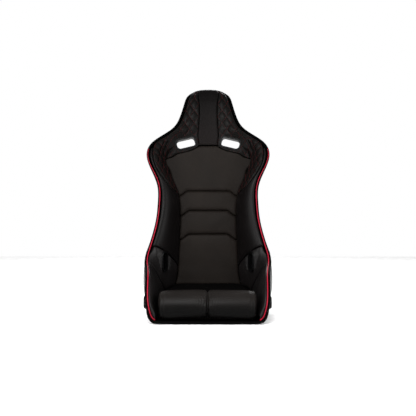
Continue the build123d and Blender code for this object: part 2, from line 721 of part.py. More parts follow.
def build():
    """Every node of the seat by name: a solid, or a list of solids for a group of like pieces."""
    nodes = {}
    shell = shell_solid()
    pads = padding()
    shell_cuts, pad_cuts, foam_cuts = [], [], []

    # Harness and lap-belt slots with their bezels, right side first and then its mirror image.
    for name, plane, size in (("harness", harness_plane(), HARNESS_SLOT), ("lap", lap_plane(), LAP_SLOT)):
        front, rears, screws, holes = bezel_parts(plane, size, shell)
        tools = [
            ring_prism(plane, size, TUBE_WALL + CLEARANCE, -110, 30),
            ring_prism(plane, size, FLANGE_WIDTH + CLEARANCE, -FLANGE_DEPTH - CLEARANCE, 30),
        ]
        shell_cuts += [tools[0], mirrored(tools[0])]
        shell_cuts += holes + [mirrored(hole) for hole in holes]
        pad_cuts += tools + [mirrored(tool) for tool in tools]
        foam_cuts += tools + [mirrored(tool) for tool in tools]
        foam_cuts += holes + [mirrored(hole) for hole in holes]
        nodes[name + "_bezel_front_right"], nodes[name + "_bezel_front_left"] = front, mirrored(front)
        nodes[name + "_bezel_rear_right"], nodes[name + "_bezel_rear_left"] = rears
        nodes[name + "_bezel_screws"] = screws + [mirrored(screw) for screw in screws]

    # The crotch-strap slot with its low bezel.
    pan = Plane(origin=(0, CROTCH_Y, 4.0))
    crotch = ring_prism(pan, CROTCH_SLOT, FLANGE_WIDTH, 0, 2.2)
    crotch = crotch + ring_prism(pan, CROTCH_SLOT, TUBE_WALL, -3, 0)
    nodes["crotch_strap_bezel"] = crotch - ring_prism(pan, CROTCH_SLOT, 0, -20, 20)
    shell_cuts.append(ring_prism(pan, CROTCH_SLOT, TUBE_WALL + CLEARANCE, -20, 20))

    # Inserts and backing plates of the side mounting.
    inserts, plates = [], []
    outwards = (Align.CENTER, Align.CENTER, Align.MIN)
    inwards = (Align.CENTER, Align.CENTER, Align.MAX)
    for which, y in mount_positions():
        root = along_x(BOSS_ROOT[which], y, MOUNT_Z)
        behind_plate = root * Pos(0, 0, -PLATE_THICKNESS)
        length = MOUNT_X[which] - BOSS_ROOT[which] + PLATE_THICKNESS
        stem = behind_plate * Cylinder(INSERT_RADIUS, length, align=outwards)
        head = behind_plate * Cylinder(11, 2.5, align=inwards)
        bore = root * Cylinder(INSERT_BORE, 120)
        inserts.append((stem + head - bore).solid())
        hole = root * Pos(0, 0, 30) * Cylinder(INSERT_RADIUS + 0.05, 120)
        plate = behind_plate * extrude(RectangleRounded(PLATE_SIZE, PLATE_SIZE, 8), PLATE_THICKNESS)
        plates.append((plate - hole).solid())
        flat = root * Box(PLATE_SIZE + 1, PLATE_SIZE + 1, 10, align=inwards)
        shell_cuts += [hole, mirrored(hole), flat, mirrored(flat)]
        pocket = behind_plate * Pos(0, 0, -5) * Box(PLATE_SIZE + 18, PLATE_SIZE + 18, 60, align=outwards)
        pad_cuts += [pocket, mirrored(pocket)]
        foam_cuts += [pocket, mirrored(pocket)]
    nodes["mount_inserts_right"], nodes["mount_inserts_left"] = inserts, [mirrored(i) for i in inserts]
    nodes["mount_plates_right"], nodes["mount_plates_left"] = plates, [mirrored(p) for p in plates]

    nodes["shell"] = cut(shell, shell_cuts)
    for name, pad in pads.items():
        box = pad.bounding_box()
        tools = foam_cuts if "foam" in name else pad_cuts
        tools = [tool for tool in tools if boxes_meet(box, tool.bounding_box())]
        nodes[name] = cut(pad, tools) if tools else pad

    nodes["edge_trim"] = trim_solid()
    piping = piping_solid()
    nodes["piping_right"], nodes["piping_left"] = piping, mirrored(piping)

    cushion, cavity, filling = (cushion_solid(i) for i in (0, COVER_THICKNESS, COVER_THICKNESS + 0.1))
    nodes["seat_cushion_cover"] = (cushion - cavity).solid()
    nodes["seat_cushion_foam"] = filling
    roll, cavity, filling = (roll_solid(i) for i in (0, COVER_THICKNESS, COVER_THICKNESS + 0.1))
    nodes["thigh_roll_cover"] = (roll - cavity).solid()
    nodes["thigh_roll_foam"] = filling
    nodes["tape_hooks"] = [cut(tape(x, y, 3, HOOKS_TOP), [shell]) for x, y in TAPE_PLACES]
    nodes["tape_loops"] = [tape(x, y, *LOOPS) for x, y in TAPE_PLACES]
    return nodes


def boxes_meet(a, b):
    low = (a.min.X < b.max.X, a.min.Y < b.max.Y, a.min.Z < b.max.Z)
    high = (a.max.X > b.min.X, a.max.Y > b.min.Y, a.max.Z > b.min.Z)
    return all(low) and all(high)


def main():
    os.makedirs(PARTS, exist_ok=True)
    for name, solids in build().items():
        solids = solids if isinstance(solids, list) else [solids]
        moved = [Pos(0, -MIDDLE_Y, 0) * solid for solid in solids]
        whole = moved[0] if len(moved) == 1 else Compound(children=moved)
        export_step(whole, os.path.join(PARTS, name + ".step"))


if __name__ == "__main__":
    main()
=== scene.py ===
import math

import bmesh
import bpy
import numpy as np
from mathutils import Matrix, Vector


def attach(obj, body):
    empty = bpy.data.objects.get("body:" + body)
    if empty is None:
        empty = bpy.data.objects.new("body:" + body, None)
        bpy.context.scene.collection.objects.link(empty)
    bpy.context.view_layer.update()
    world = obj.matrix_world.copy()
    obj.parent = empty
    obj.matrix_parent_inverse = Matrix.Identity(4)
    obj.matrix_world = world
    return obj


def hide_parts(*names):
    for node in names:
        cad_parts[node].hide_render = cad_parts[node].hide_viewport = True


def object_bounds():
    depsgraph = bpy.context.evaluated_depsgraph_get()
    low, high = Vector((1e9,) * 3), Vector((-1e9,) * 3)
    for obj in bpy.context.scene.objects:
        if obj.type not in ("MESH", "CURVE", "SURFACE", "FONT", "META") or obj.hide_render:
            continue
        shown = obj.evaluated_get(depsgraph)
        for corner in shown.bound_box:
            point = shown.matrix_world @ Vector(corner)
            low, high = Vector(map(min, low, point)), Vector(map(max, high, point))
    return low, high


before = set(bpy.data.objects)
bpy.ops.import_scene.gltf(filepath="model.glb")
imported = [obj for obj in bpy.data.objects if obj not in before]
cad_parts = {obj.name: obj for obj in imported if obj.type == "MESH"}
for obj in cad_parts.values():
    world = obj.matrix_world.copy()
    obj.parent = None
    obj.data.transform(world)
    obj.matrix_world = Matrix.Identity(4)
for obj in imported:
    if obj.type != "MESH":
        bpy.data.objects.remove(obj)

cad_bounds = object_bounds()

# -------------------- shape of the seat, in mm
# The same driving dimensions as the CAD model's. Along the seat there are 21 stations, from the front of
# the pan to the top of the headrest. Each has a spine point (y, z) and a rim point (x, y, z).
SPINE = [
    (-286, 8), (-222, 3.5), (-150, 3.5), (-75, 3.5), (0, 3.5), (78, 12), (132, 48), (156, 110),
    (168, 185), (180, 262), (193, 340), (208, 418), (224, 496), (240, 574), (256, 652), (273, 728),
    (290, 800), (305, 862), (316, 914), (325, 956), (331, 985),
]
RIM = [
    (224, -289, 46), (231, -274, 90), (234, -245, 134), (237, -198, 173), (243, -137, 193),
    (250, -74, 202), (255, -30, 222), (251, 0, 252), (239, 20, 290), (225, 38, 340), (213, 55, 400),
    (208, 72, 464), (210, 86, 530), (233, 98, 594), (259, 112, 664), (236, 152, 728),
    (160, 216, 788), (123, 257, 852), (107, 281, 908), (93, 304, 951), (60, 325, 976),
]
# At each station: half the flat width, the corner's radius and the wall's belly of the shell, then the
# padding's depth, where its side seam lies, how far its bolster swells, and how smooth the crease there is.
FLAT = [211, 212, 216, 220, 224, 222, 212, 194, 176, 164, 154, 150, 156, 176, 192, 172, 116, 84, 70, 58, 42]
CORNER = [12, 24, 32, 36, 38, 46, 60, 66, 66, 64, 62, 60, 60, 62, 64, 60, 50, 44, 40, 36, 32]
BELLY = [2, 8, 14, 19, 23, 27, 29, 23, 13, 7, 5, 5, 6, 8, 9, 7, 4, 2, 2, 1, 1]
PAD = [20, 20, 20, 20, 20, 22, 30, 36, 38, 40, 41, 41, 40, 39, 40, 42, 46, 50, 49, 42, 26]
SEAM = [195, 195, 195, 195, 195, 190, 162, 138, 132, 129, 126, 126, 137, 167, 195, 176, 110, 80, 72, 62, 46]
SWELL = [4, 8, 10, 11, 11, 12, 16, 22, 24, 25, 25, 25, 24, 22, 20, 16, 10, 8, 8, 6, 4]
SMOOTH = [0, 0, 0, 0, 0, 0, 0, 0, 0, 0, 0, 0, 0, 0, 0.1, 0.75, 1, 1, 1, 1, 1]
LAST = len(SPINE) - 1
MIDDLE_Y = 20.4  # y of the middle of the seat's box, which is the frame's origin
SHELL_THICKNESS = 4.5
COVER_FOLD = 14.0
SEAM_GAP = 1.0
TRIM_CROWN = 2.6
PIPING_RADIUS = 3.4
# Each seam across the back, as its station and how far it drops towards its ends.
LUMBAR_SEAMS = [(6.55, 0.0), (9.6, 0.34), (10.99, 0.33), (12.16, 0.31)]
# The outline of a quilted panel: stations along the crease, points (x, z) as seen from the front, and
# stations along the rim.
QUILT_CREASE = [11.87, 12.25, 12.93, 13.6]
QUILT_INNER = [
    (190, 647), (174, 664), (140, 682), (92, 694), (50, 714), (43.5, 745), (42, 820), (41, 912),
]
QUILT_TIP = (11.81, 0.54)
QUILT_OUTER = [(160, 532), (206, 590), (232, 640), (238, 680)]
QUILT_EDGE = [15.0, 15.4, 15.8, 16.2, 16.8, 17.6, 18.6]
QUILT_TOP = 19.9
# The slots: length and width, place as (x, z) or (station, share), and the way out of the shell.
HARNESS_SLOT = (84, 38)
HARNESS_PLACE = (99, 731.5)
HARNESS_AXIS = (-0.07, -0.995, 0.06)
HARNESS_TILT = 14.0
LAP_SLOT = (72, 30)
LAP_PLACE = (7.0, 0.78)
LAP_AXIS = (-0.9, -0.436, 0.0)
FLANGE = 8.0  # how far a bezel's flange reaches beyond its slot
DIAMOND = (42.0, 60.0)  # half the width and half the height of a quilted diamond, along the cloth
BACK_LOW = 8  # the station that the maps of the back start at
THIGH_SPAN, HIP_SPAN, BACK_SPAN = (0.2, 5.6), (5.62, 7.68), (7.7, 11.4)  # stations of the bolsters
TOP_STITCH_INSET = 5.0
TUBE_SIDES = 18
TUBE_WRINKLE = 0.035
ROLL_MIDDLE = np.array([-243.0, 66.0])
ROLL_HALF = 188.0
ROLL_END = 30
CUSHION_HALF = 183.0
CUSHION_MIDDLE_Y = -41.5
TURN = 6.283
SLOPE_STEP = 1e-3
SIDES = (("right", 1), ("left", -1))


def smoothstep(t):
    t = np.clip(t, 0, 1)
    return t * t * (3 - 2 * t)


def unit(vectors):
    return vectors / np.linalg.norm(vectors, axis=-1, keepdims=True)


def reach_along(points, axis=0):
    """Distances along lines of points, from each line's start."""
    steps = np.linalg.norm(np.diff(points, axis=axis), axis=-1)
    return np.insert(np.cumsum(steps, axis=axis), 0, 0, axis=axis)


def interp_points(at, places, points):
    """Points along a line of points, at distances that their places are measured in."""
    return np.stack([np.interp(at, places, points[:, k]) for k in range(points.shape[1])], axis=-1)


class Track:
    """A smooth curve through values, one to a station: a natural cubic spline."""

    def __init__(self, values):
        self.values = np.asarray(values, float).reshape(len(values), -1)
        count = len(self.values)
        matrix = np.eye(count)
        right = np.zeros_like(self.values)
        for i in range(1, count - 1):
            matrix[i, i - 1 : i + 2] = (1, 4, 1)
            right[i] = 6 * (self.values[i - 1] - 2 * self.values[i] + self.values[i + 1])
        self.bends = np.linalg.solve(matrix, right)

    def __call__(self, s):
        s = np.clip(np.asarray(s, float), 0, len(self.values) - 1)
        low = np.minimum(s.astype(int), len(self.values) - 2)
        t = (s - low)[..., None]
        a, b = self.values[low], self.values[low + 1]
        c, d = self.bends[low], self.bends[low + 1]
        return a * (1 - t) + b * t + ((1 - t) ** 3 - (1 - t)) * c / 6 + (t**3 - t) * d / 6


SPINE_TRACK, RIM_TRACK = Track(SPINE), Track(RIM)
SHAPE_TRACK = Track(list(zip(FLAT, CORNER, BELLY, PAD, SEAM, SWELL, SMOOTH)))


def floats(s, u):
    """Stations and shares as arrays of one shape."""
    return np.broadcast_arrays(np.asarray(s, float), np.asarray(u, float))


def frame_at(s):
    """A section's spine point, its way up, and half its width and its height at the rim."""
    spine, rim = SPINE_TRACK(s), RIM_TRACK(s)
    rise = rim[..., 1:] - spine
    return spine, unit(rise), rim[..., 0], np.linalg.norm(rise, axis=-1)


def bent_section(u, flat, end_x, end_h, corner, belly):
    """Across and up at share u of a section that runs flat, turns a corner and climbs to its end."""
    wall = np.hypot(end_x - flat, end_h)
    total = flat + wall
    path = u * total

    def ramp(p):
        both = np.sqrt((p - flat) ** 2 + corner**2) + np.sqrt((p + flat) ** 2 + corner**2)
        return both / 2 - np.sqrt(flat**2 + corner**2)

    climbed = ramp(path) / ramp(total) * wall
    share = climbed / wall
    bulge = belly * np.sin(np.pi * share)
    x = path - climbed + share * (end_x - flat) + bulge * end_h / wall
    h = share * end_h - bulge * (end_x - flat) / wall
    return x, h


def in_space(s, x, h):
    """The point that lies x across and h up in the section at station s."""
    spine, rise, _, _ = frame_at(s)
    return np.stack([x, spine[..., 0] + rise[..., 0] * h, spine[..., 1] + rise[..., 1] * h], axis=-1)


def shell_point(s, u):
    """The inside of the shell at station s and share u across it, from -1 to 1."""
    s, u = floats(s, u)
    _, _, rim_x, height = frame_at(s)
    flat, corner, belly = np.moveaxis(SHAPE_TRACK(s)[..., :3], -1, 0)
    x, h = bent_section(np.abs(u), flat, rim_x, height, corner, belly)
    return in_space(s, np.sign(u) * x, h)


def normals(surface, s, u):
    along = surface(s + SLOPE_STEP, u) - surface(s - SLOPE_STEP, u)
    across = surface(s, u + SLOPE_STEP) - surface(s, u - SLOPE_STEP)
    return unit(np.cross(across, along))


def face_point(s, u):
    """The padded face at station s and share u across it, with the side seam at 0.5."""
    s, u = floats(s, u)
    a = np.abs(u)
    pad, seam, swell, smooth = np.moveaxis(SHAPE_TRACK(s)[..., 3:], -1, 0)
    smooth = np.clip(smooth, 0, 1)
    _, _, rim_x, height = frame_at(s)
    end_x, end_h = rim_x - 7.4, height + 4.0
    turn = np.clip(2 * a - 1, 0, 1) * np.pi
    v = (1 - np.cos(turn)) / 2
    puff = swell * np.sin(turn) * (1 - 0.3 * np.cos(turn))
    chord_x, chord_h = end_x - seam, end_h - pad
    chord = np.hypot(chord_x, chord_h)
    middle = np.minimum(2 * a, 1)
    creased_x = seam * middle + chord_x * v - puff * chord_h / chord
    creased_h = pad + chord_h * v + puff * chord_x / chord
    soft_x, soft_h = bent_section(a, seam, end_x, end_h - pad, 60.0, -swell)
    x = creased_x * (1 - smooth) + soft_x * smooth
    h = creased_h * (1 - smooth) + (pad + soft_h) * smooth
    return in_space(s, np.sign(u) * x, h)


def under_point(s, u):
    """The point of the shell that lies under a point of the padded face."""
    s, u = floats(s, u)
    _, _, rim_x, height = frame_at(s)
    values = SHAPE_TRACK(s)
    flat, seam, smooth = values[..., 0], values[..., 4], np.clip(values[..., 6], 0, 1)
    total = flat + np.hypot(rim_x - flat, height)
    edge = (total - COVER_FOLD) / total
    middle = np.minimum(seam / total, 0.8)
    a = np.abs(u)
    creased = np.where(a < 0.5, 2 * a * middle, middle + (2 * a - 1) * (edge - middle))
    share = creased * (1 - smooth) + a * edge * smooth
    return shell_point(s, np.sign(u) * share)


def place(x, z):
    """Station and share of the point of the face that is seen at x and z from the front."""
    s, u = np.meshgrid(np.linspace(BACK_LOW, LAST, 481), np.linspace(0, 1, 201), indexing="ij")
    points = face_point(s, u)
    miss = np.hypot(points[..., 0] - x, points[..., 2] - z)
    best = np.unravel_index(miss.argmin(), miss.shape)
    at = np.array([s[best], u[best]])
    for _ in range(6):
        here = face_point(at[0], at[1])[[0, 2]]
        step = 1e-4
        slopes = [(face_point(*(at + way))[[0, 2]] - here) / step for way in ((step, 0), (0, step))]
        move = np.linalg.solve(np.stack(slopes, axis=-1), np.array([x, z]) - here)
        at = np.clip(at + 0.7 * move, (BACK_LOW, 0), (LAST, 1))
    return tuple(at)


def run(points):
    """A smooth line of (station, share) through points, for shares v of the way along it."""
    track = Track(points)
    return lambda v: track(np.asarray(v) * (len(points) - 1))


def straight(u, low, high):
    """The line along share u from a low to a high station."""
    return lambda v: np.stack([low + (high - low) * v, np.full_like(v, u)], -1)


# -------------------- materials
def material(name, color, roughness, **sockets):
    """A shaded material with its plain sockets set."""
    mat = bpy.data.materials.new(name)
    mat.use_nodes = True
    shader = mat.node_tree.nodes["Principled BSDF"]
    shader.inputs["Base Color"].default_value = (*color, 1)
    shader.inputs["Roughness"].default_value = roughness
    for key, value in sockets.items():
        shader.inputs[key.replace("_", " ")].default_value = value
    return mat, shader


def node(mat, kind, **values):
    made = mat.node_tree.nodes.new(kind)
    for key, value in values.items():
        if key in made.inputs:
            made.inputs[key].default_value = value
        else:
            setattr(made, key, value)
    return made


def wire(mat, a, out, b, into):
    mat.node_tree.links.new(a.outputs[out], b.inputs[into])


def math_node(mat, kind, *terms):
    """A math node whose terms are numbers or (node, output) pairs."""
    made = node(mat, "ShaderNodeMath", operation=kind)
    for index, term in enumerate(terms):
        if isinstance(term, tuple):
            wire(mat, *term, made, index)
        else:
            made.inputs[index].default_value = term
    return made


def noise(mat, scale, detail, roughness, **values):
    return node(mat, "ShaderNodeTexNoise", Scale=scale, Detail=detail, Roughness=roughness, **values)


def tint(mat, shader, texture, color, stops, shares):
    """Varies a colour with a texture, between two shares of it."""
    made = node(mat, "ShaderNodeValToRGB")
    for element, stop, share in zip(made.color_ramp.elements, stops, shares):
        element.position, element.color = stop, (*(min(1, c * share) for c in color), 1)
    wire(mat, texture, "Fac", made, "Fac")
    wire(mat, made, "Color", shader, "Base Color")
    return made


def lay_textures(mat, *textures):
    """Lays textures by object coordinates."""
    place_at = node(mat, "ShaderNodeTexCoord")
    for texture in textures:
        wire(mat, place_at, "Object", texture, "Vector")
    return place_at


def emboss(mat, shader, *layers):
    """Bumps on top of each other, from layers of (texture, its output, strength, depth in metres)."""
    under = None
    for texture, out, strength, depth in layers:
        bump = node(mat, "ShaderNodeBump", Strength=strength, Distance=depth)
        wire(mat, texture, out, bump, "Height")
        if under:
            wire(mat, under, "Normal", bump, "Normal")
        under = bump
    wire(mat, under, "Normal", shader, "Normal")


def leatherette(name, color, roughness, specular=0.14, painted_shade_by_height=None):
    """Embossed vinyl: fine pebble grain, soft creases, slow change of colour and sheen.

    With a height span (low, high, share) its colour fades over that height, in metres, to that share, which
    paints shade into the colour by height."""
    mat, shader = material(name, color, roughness, Specular_IOR_Level=specular)
    pebble = node(mat, "ShaderNodeTexVoronoi", Scale=950.0, Randomness=0.9, feature="SMOOTH_F1")
    fine = noise(mat, 2600.0, 3.0, 0.6)
    crease = noise(mat, 90.0, 4.0, 0.55, Distortion=0.6)
    slow = noise(mat, 7.0, 3.0, 0.5)
    place_at = lay_textures(mat, pebble, fine, crease, slow)
    tinted = tint(mat, shader, slow, color, (0.3, 0.7), (0.82, 1.25))
    # Painted shade: the height span scales the colour down over that height.
    if painted_shade_by_height:
        low, high, share = painted_shade_by_height
        height = node(mat, "ShaderNodeSeparateXYZ")
        wire(mat, place_at, "Object", height, "Vector")
        level = node(mat, "ShaderNodeMapRange", interpolation_type="SMOOTHSTEP")
        for key, value in (("From Min", low), ("From Max", high), ("To Min", 1.0), ("To Max", share)):
            level.inputs[key].default_value = value
        wire(mat, height, "Z", level, "Value")
        painted_shade_color = node(mat, "ShaderNodeVectorMath", operation="SCALE")
        wire(mat, tinted, "Color", painted_shade_color, 0)
        wire(mat, level, "Result", painted_shade_color, "Scale")
        wire(mat, painted_shade_color, "Vector", shader, "Base Color")
    rough = math_node(mat, "MULTIPLY_ADD", (slow, "Fac"), 0.16, roughness - 0.08)
    rough_fine = math_node(mat, "MULTIPLY_ADD", (fine, "Fac"), 0.10, (rough, "Value"))
    wire(mat, rough_fine, "Value", shader, "Roughness")
    grain = (pebble, "Distance", 0.35, 0.0004)
    emboss(mat, shader, grain, (fine, "Fac", 0.12, 0.0002), (crease, "Fac", 0.25, 0.0006))
    return mat


def moulded(name, color, roughness, texture_scale, strength, spread=0.1, **sockets):
    """Plastic, rubber, paint or metal with a fine surface texture and uneven roughness."""
    mat, shader = material(name, color, roughness, **sockets)
    fine, slow = noise(mat, texture_scale, 4.0, 0.6), noise(mat, 14.0, 4.0, 0.6)
    lay_textures(mat, fine, slow)
    tint(mat, shader, slow, color, (0.3, 0.75), (0.85, 1.2))
    rough = math_node(mat, "MULTIPLY_ADD", (slow, "Fac"), spread, roughness - spread / 2)
    wire(mat, rough, "Value", shader, "Roughness")
    emboss(mat, shader, (fine, "Fac", strength, 0.0003))
    return mat


def thread(name, color):
    """Twisted sewing thread."""
    mat, shader = material(name, color, 0.5, Specular_IOR_Level=0.1)
    twist = node(mat, "ShaderNodeTexWave", Scale=520.0, Distortion=1.0, bands_direction="DIAGONAL")
    lay_textures(mat, twist)
    tint(mat, shader, twist, color, (0.0, 1.0), (0.6, 1.0))
    emboss(mat, shader, (twist, "Fac", 0.5, 0.0002))
    return mat


BOLSTER = leatherette("bolster_leatherette", (0.0020, 0.0016, 0.0016), 0.36, 0.06)
# Thigh bolsters and hip pads: a lighter copy of the bolster leatherette, whose lighter colour is a painted
# sheen; their higher specular gives real reflections of the side lamps.
THIGH = leatherette("thigh_leatherette", (0.0034, 0.0028, 0.0028), 0.38, 0.17)
# Thigh roll: its lighter colour is a painted highlight on its top, and the height fade paints shade,
# darkening it to a tenth towards its bottom.
ROLL = leatherette("roll_leatherette", (0.0068, 0.0058, 0.0053), 0.36, 0.05, painted_shade_by_height=(0.115, 0.05, 0.1))
PANEL = leatherette("panel_leatherette", (0.0056, 0.0043, 0.0035), 0.5, 0.041)
# Headrest strip and quilted panels: the height fade paints shade, darkening the colour towards the
# headrest's top, where the surfaces turn up and back.
STRIP = leatherette("strip_leatherette", (0.0036, 0.0028, 0.0027), 0.5, 0.03, painted_shade_by_height=(0.80, 0.95, 0.45))
QUILT = leatherette("quilted_leatherette", (0.0019, 0.0016, 0.0014), 0.42, 0.045, painted_shade_by_height=(0.84, 0.96, 0.5))
CUSHION = leatherette("cushion_leatherette", (0.0005, 0.0004, 0.0004), 0.55, 0.02)
RED_VINYL = leatherette("red_piping", (0.22, 0.0012, 0.012), 0.45)
RED_THREAD = thread("red_thread", (0.034, 0.0036, 0.004))
BLACK_THREAD = thread("black_thread", (0.002, 0.0018, 0.0018))
GELCOAT = moulded("gelcoat", (0.0010, 0.0010, 0.0011), 0.34, 320.0, 0.05, 0.14, Specular_IOR_Level=0.06,
                  Coat_Weight=0.05, Coat_Roughness=0.15)
RUBBER = moulded("trim_rubber", (0.0006, 0.0006, 0.0006), 0.62, 1800.0, 0.3, Specular_IOR_Level=0.012)
PLASTIC = moulded("bezel_plastic", (0.0012, 0.0012, 0.0013), 0.36, 2200.0, 0.22, Specular_IOR_Level=0.09)
SCREW_STEEL = moulded("screw_steel", (0.05, 0.05, 0.053), 0.35, 1500.0, 0.15, Metallic=0.9)
INSERT_STEEL = moulded("insert_steel", (0.55, 0.55, 0.57), 0.32, 1200.0, 0.12, Metallic=1.0)
PLATE_PAINT = moulded("plate_paint", (0.03, 0.03, 0.032), 0.42, 900.0, 0.25)
TAPE = moulded("hook_tape", (0.016, 0.016, 0.016), 0.85, 700.0, 1.0)


# -------------------- meshes
def metres(points):
    """Points of the CAD source, in mm, as metres of the shared frame."""
    return (np.asarray(points, float) - (0, MIDDLE_Y, 0)) / 1000.0


def new_object(name, data):
    obj = bpy.data.objects.new(name, data)
    bpy.context.scene.collection.objects.link(obj)
    return obj


def add_object(name, points, faces, mat, body="seat_shell"):
    """A smooth-shaded piece on a body, without loose points and with its faces turned outwards."""
    mesh = bpy.data.meshes.new(name)
    mesh.from_pydata(metres(points).tolist(), [], [tuple(map(int, f)) for f in faces])
    mesh.validate()
    mesh.update()
    mesh.materials.append(mat)
    mesh.polygons.foreach_set("use_smooth", [True] * len(mesh.polygons))
    obj = new_object(name, mesh)
    clean = bmesh.new()
    clean.from_mesh(mesh)
    bmesh.ops.recalc_face_normals(clean, faces=clean.faces)
    bmesh.ops.delete(clean, geom=[v for v in clean.verts if not v.link_faces], context="VERTS")
    clean.to_mesh(mesh)
    clean.free()
    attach(obj, body)
    return obj


def grid_faces(rows, columns):
    i, j = np.meshgrid(np.arange(rows - 1), np.arange(columns - 1), indexing="ij")
    a = (i * columns + j).ravel()
    return np.stack([a, a + 1, a + columns + 1, a + columns], axis=-1)


def loop_faces(count, length, wrap=None):
    """Quads between rings of points, each ring closed. With wrap the last ring is the first again."""
    i, j = np.meshgrid(np.arange(count - 1), np.arange(length), indexing="ij")
    k, m = (j + 1) % length, (i + 1) % (wrap or count)
    corners = [i * length + j, i * length + k, m * length + k, m * length + j]
    return list(np.stack(corners, axis=-1).reshape(-1, 4))


def ring_faces(count, length):
    """Quads between rings of points, with the first and last ring capped."""
    caps = [tuple(range(length)), tuple((count - 1) * length + j for j in range(length))]
    return loop_faces(count, length) + caps


def ring_object(name, rings, mat, body="seat_shell"):
    """A closed piece through rings of points."""
    return add_object(name, rings.reshape(-1, 3), ring_faces(*rings.shape[:2]), mat, body)


def closed_pad(top, bottom):
    """Points and faces of a closed solid between two grids of the same shape."""
    rows, columns = top.shape[:2]
    count = rows * columns
    quads = grid_faces(rows, columns)
    border = [i * columns for i in range(rows)]
    border += [(rows - 1) * columns + j for j in range(1, columns)]
    border += [i * columns + columns - 1 for i in range(rows - 2, -1, -1)]
    border += [j for j in range(columns - 2, 0, -1)]
    walls = [(a, b, b + count, a + count) for a, b in zip(border, border[1:] + border[:1])]
    points = np.concatenate([top.reshape(-1, 3), bottom.reshape(-1, 3)])
    return points, [*quads, *(quads[:, ::-1] + count), *walls]


class Pad:
    """A patch of the padded face between two runs, as a fine grid with its distances to its edges in mm."""

    def __init__(self, inner, outer, rows, columns, gap=SEAM_GAP):
        fine = np.linspace(0, 1, 600)
        a, b = inner(fine), outer(fine)
        a[:, 1], b[:, 1] = np.clip(a[:, 1], -1, 1), np.clip(b[:, 1], -1, 1)
        left, right = face_point(*a.T), face_point(*b.T)
        step = sum(np.linalg.norm(np.diff(edge, axis=0), axis=-1) for edge in (left, right))
        along = np.concatenate([[0], np.cumsum(step)]) / 2
        even = np.linspace(gap, along[-1] - gap, rows)
        v = np.interp(even, along, fine)
        a, b = interp_points(v, fine, a), interp_points(v, fine, b)

        def across(share):
            return [a[:, None, k] + (b - a)[:, None, k] * share for k in (0, 1)]

        # Columns at even distances across each row.
        w = np.linspace(0, 1, 60)
        reach = reach_along(face_point(*across(w)), 1)
        width = reach[:, -1]
        target = gap + np.linspace(0, 1, columns)[None, :] * (width[:, None] - 2 * gap)
        share = np.stack([np.interp(target[i], reach[i], w) for i in range(rows)])
        self.s, self.u = across(share)
        self.face = face_point(self.s, self.u)
        self.under = under_point(self.s, self.u)
        self.normal = normals(face_point, self.s, self.u)
        self.left, self.right = target - gap, width[:, None] - gap - target
        distances = (even - gap, along[-1] - gap - even, even)
        self.low, self.high, self.along = (np.broadcast_to(d[:, None], self.s.shape) for d in distances)
        self.across = target

    def reach(self, side):
        """Distances from the left, right, bottom or top edge."""
        return {"l": self.left, "r": self.right, "b": self.low, "t": self.high}[side]


def roll_over(pad, reach=48.0):
    """Bends the top of a pad back over the headrest, down to the shell's end."""
    first = int(np.argmax(pad.high[:, 0] < reach))
    start = pad.face[first - 1]
    way = unit(start - pad.face[first - 5])
    end = under_point(np.full_like(pad.u[-1], LAST - 0.02), pad.u[-1])
    length = ((end - start) * way).sum(axis=-1)[:, None]
    corner = start + way * length
    t = (1 - pad.high[first:, :1] / pad.high[first - 1, 0])[..., None]
    pad.plain = pad.face.copy()
    pad.face[first:] = (1 - t) ** 2 * start + 2 * t * (1 - t) * corner + t**2 * end
    normal = unit(np.cross(np.gradient(pad.face, axis=1), np.gradient(pad.face, axis=0)))
    normal *= np.sign((normal * pad.normal).sum(axis=-1))[first - 1, 0]
    pad.normal[first:] = normal[first:]


def edge_drop(pad, radius, depth, sides="lrbt"):
    """How far the surface sinks beside its seams, as the quarter-round of a sewn edge."""
    near_x = np.zeros_like(pad.left)
    near_y = np.zeros_like(pad.left)
    for side in sides:
        near = np.clip(1 - pad.reach(side) / radius, 0, 1)
        if side in "lr":
            near_x = np.maximum(near_x, near)
        else:
            near_y = np.maximum(near_y, near)
    near = np.clip(np.hypot(near_x, near_y), 0, 1)
    return depth * (1 - np.sqrt(1 - near**2 * 0.999))


def puckers(pad, sides, size=0.7, wave=17.0, seed=0, reach=11.0):
    """Small gathers that stand square to the seams."""
    rng = np.random.default_rng(seed)
    out = np.zeros_like(pad.left)
    for side in sides:
        distance = pad.reach(side)
        path = pad.along if side in "lr" else pad.across
        phases = rng.uniform(0, 6.28, 4)
        waves = wave * rng.uniform(0.7, 1.6, 4)
        ripple = sum(np.sin(path / w * TURN + p) for w, p in zip(waves, phases)) / 2.2
        swell = 0.6 + 0.4 * np.sin(path / 130 * TURN + phases[0])
        out += size * ripple * swell * np.exp(-distance / reach) * smoothstep(distance / 5)
    return out


def undulate(pad, size, wave, seed):
    """Slow unevenness of foam under a cover."""
    rng = np.random.default_rng(seed)
    points = pad.face
    out = np.zeros(points.shape[:2])
    for _ in range(5):
        direction = rng.normal(size=3)
        direction /= np.linalg.norm(direction)
        out += np.sin(points @ direction / (wave * rng.uniform(0.6, 1.5)) * TURN + rng.uniform(0, 6.28))
    return size * out / 2.5


# -------------------- slots
def slot_frame(point, axis, across):
    """A slot's middle, and its ways across, up and out."""
    axis = unit(np.asarray(axis, float))
    across = unit(np.asarray(across, float) - axis * np.dot(across, axis))
    return np.asarray(point, float), across, np.cross(axis, across), axis


TILT = math.radians(HARNESS_TILT)
HARNESS = slot_frame(face_point(*place(*HARNESS_PLACE)), HARNESS_AXIS, (math.cos(TILT), 0, -math.sin(TILT)))
LAP = slot_frame(face_point(*LAP_PLACE), LAP_AXIS, (0, 0, 1))


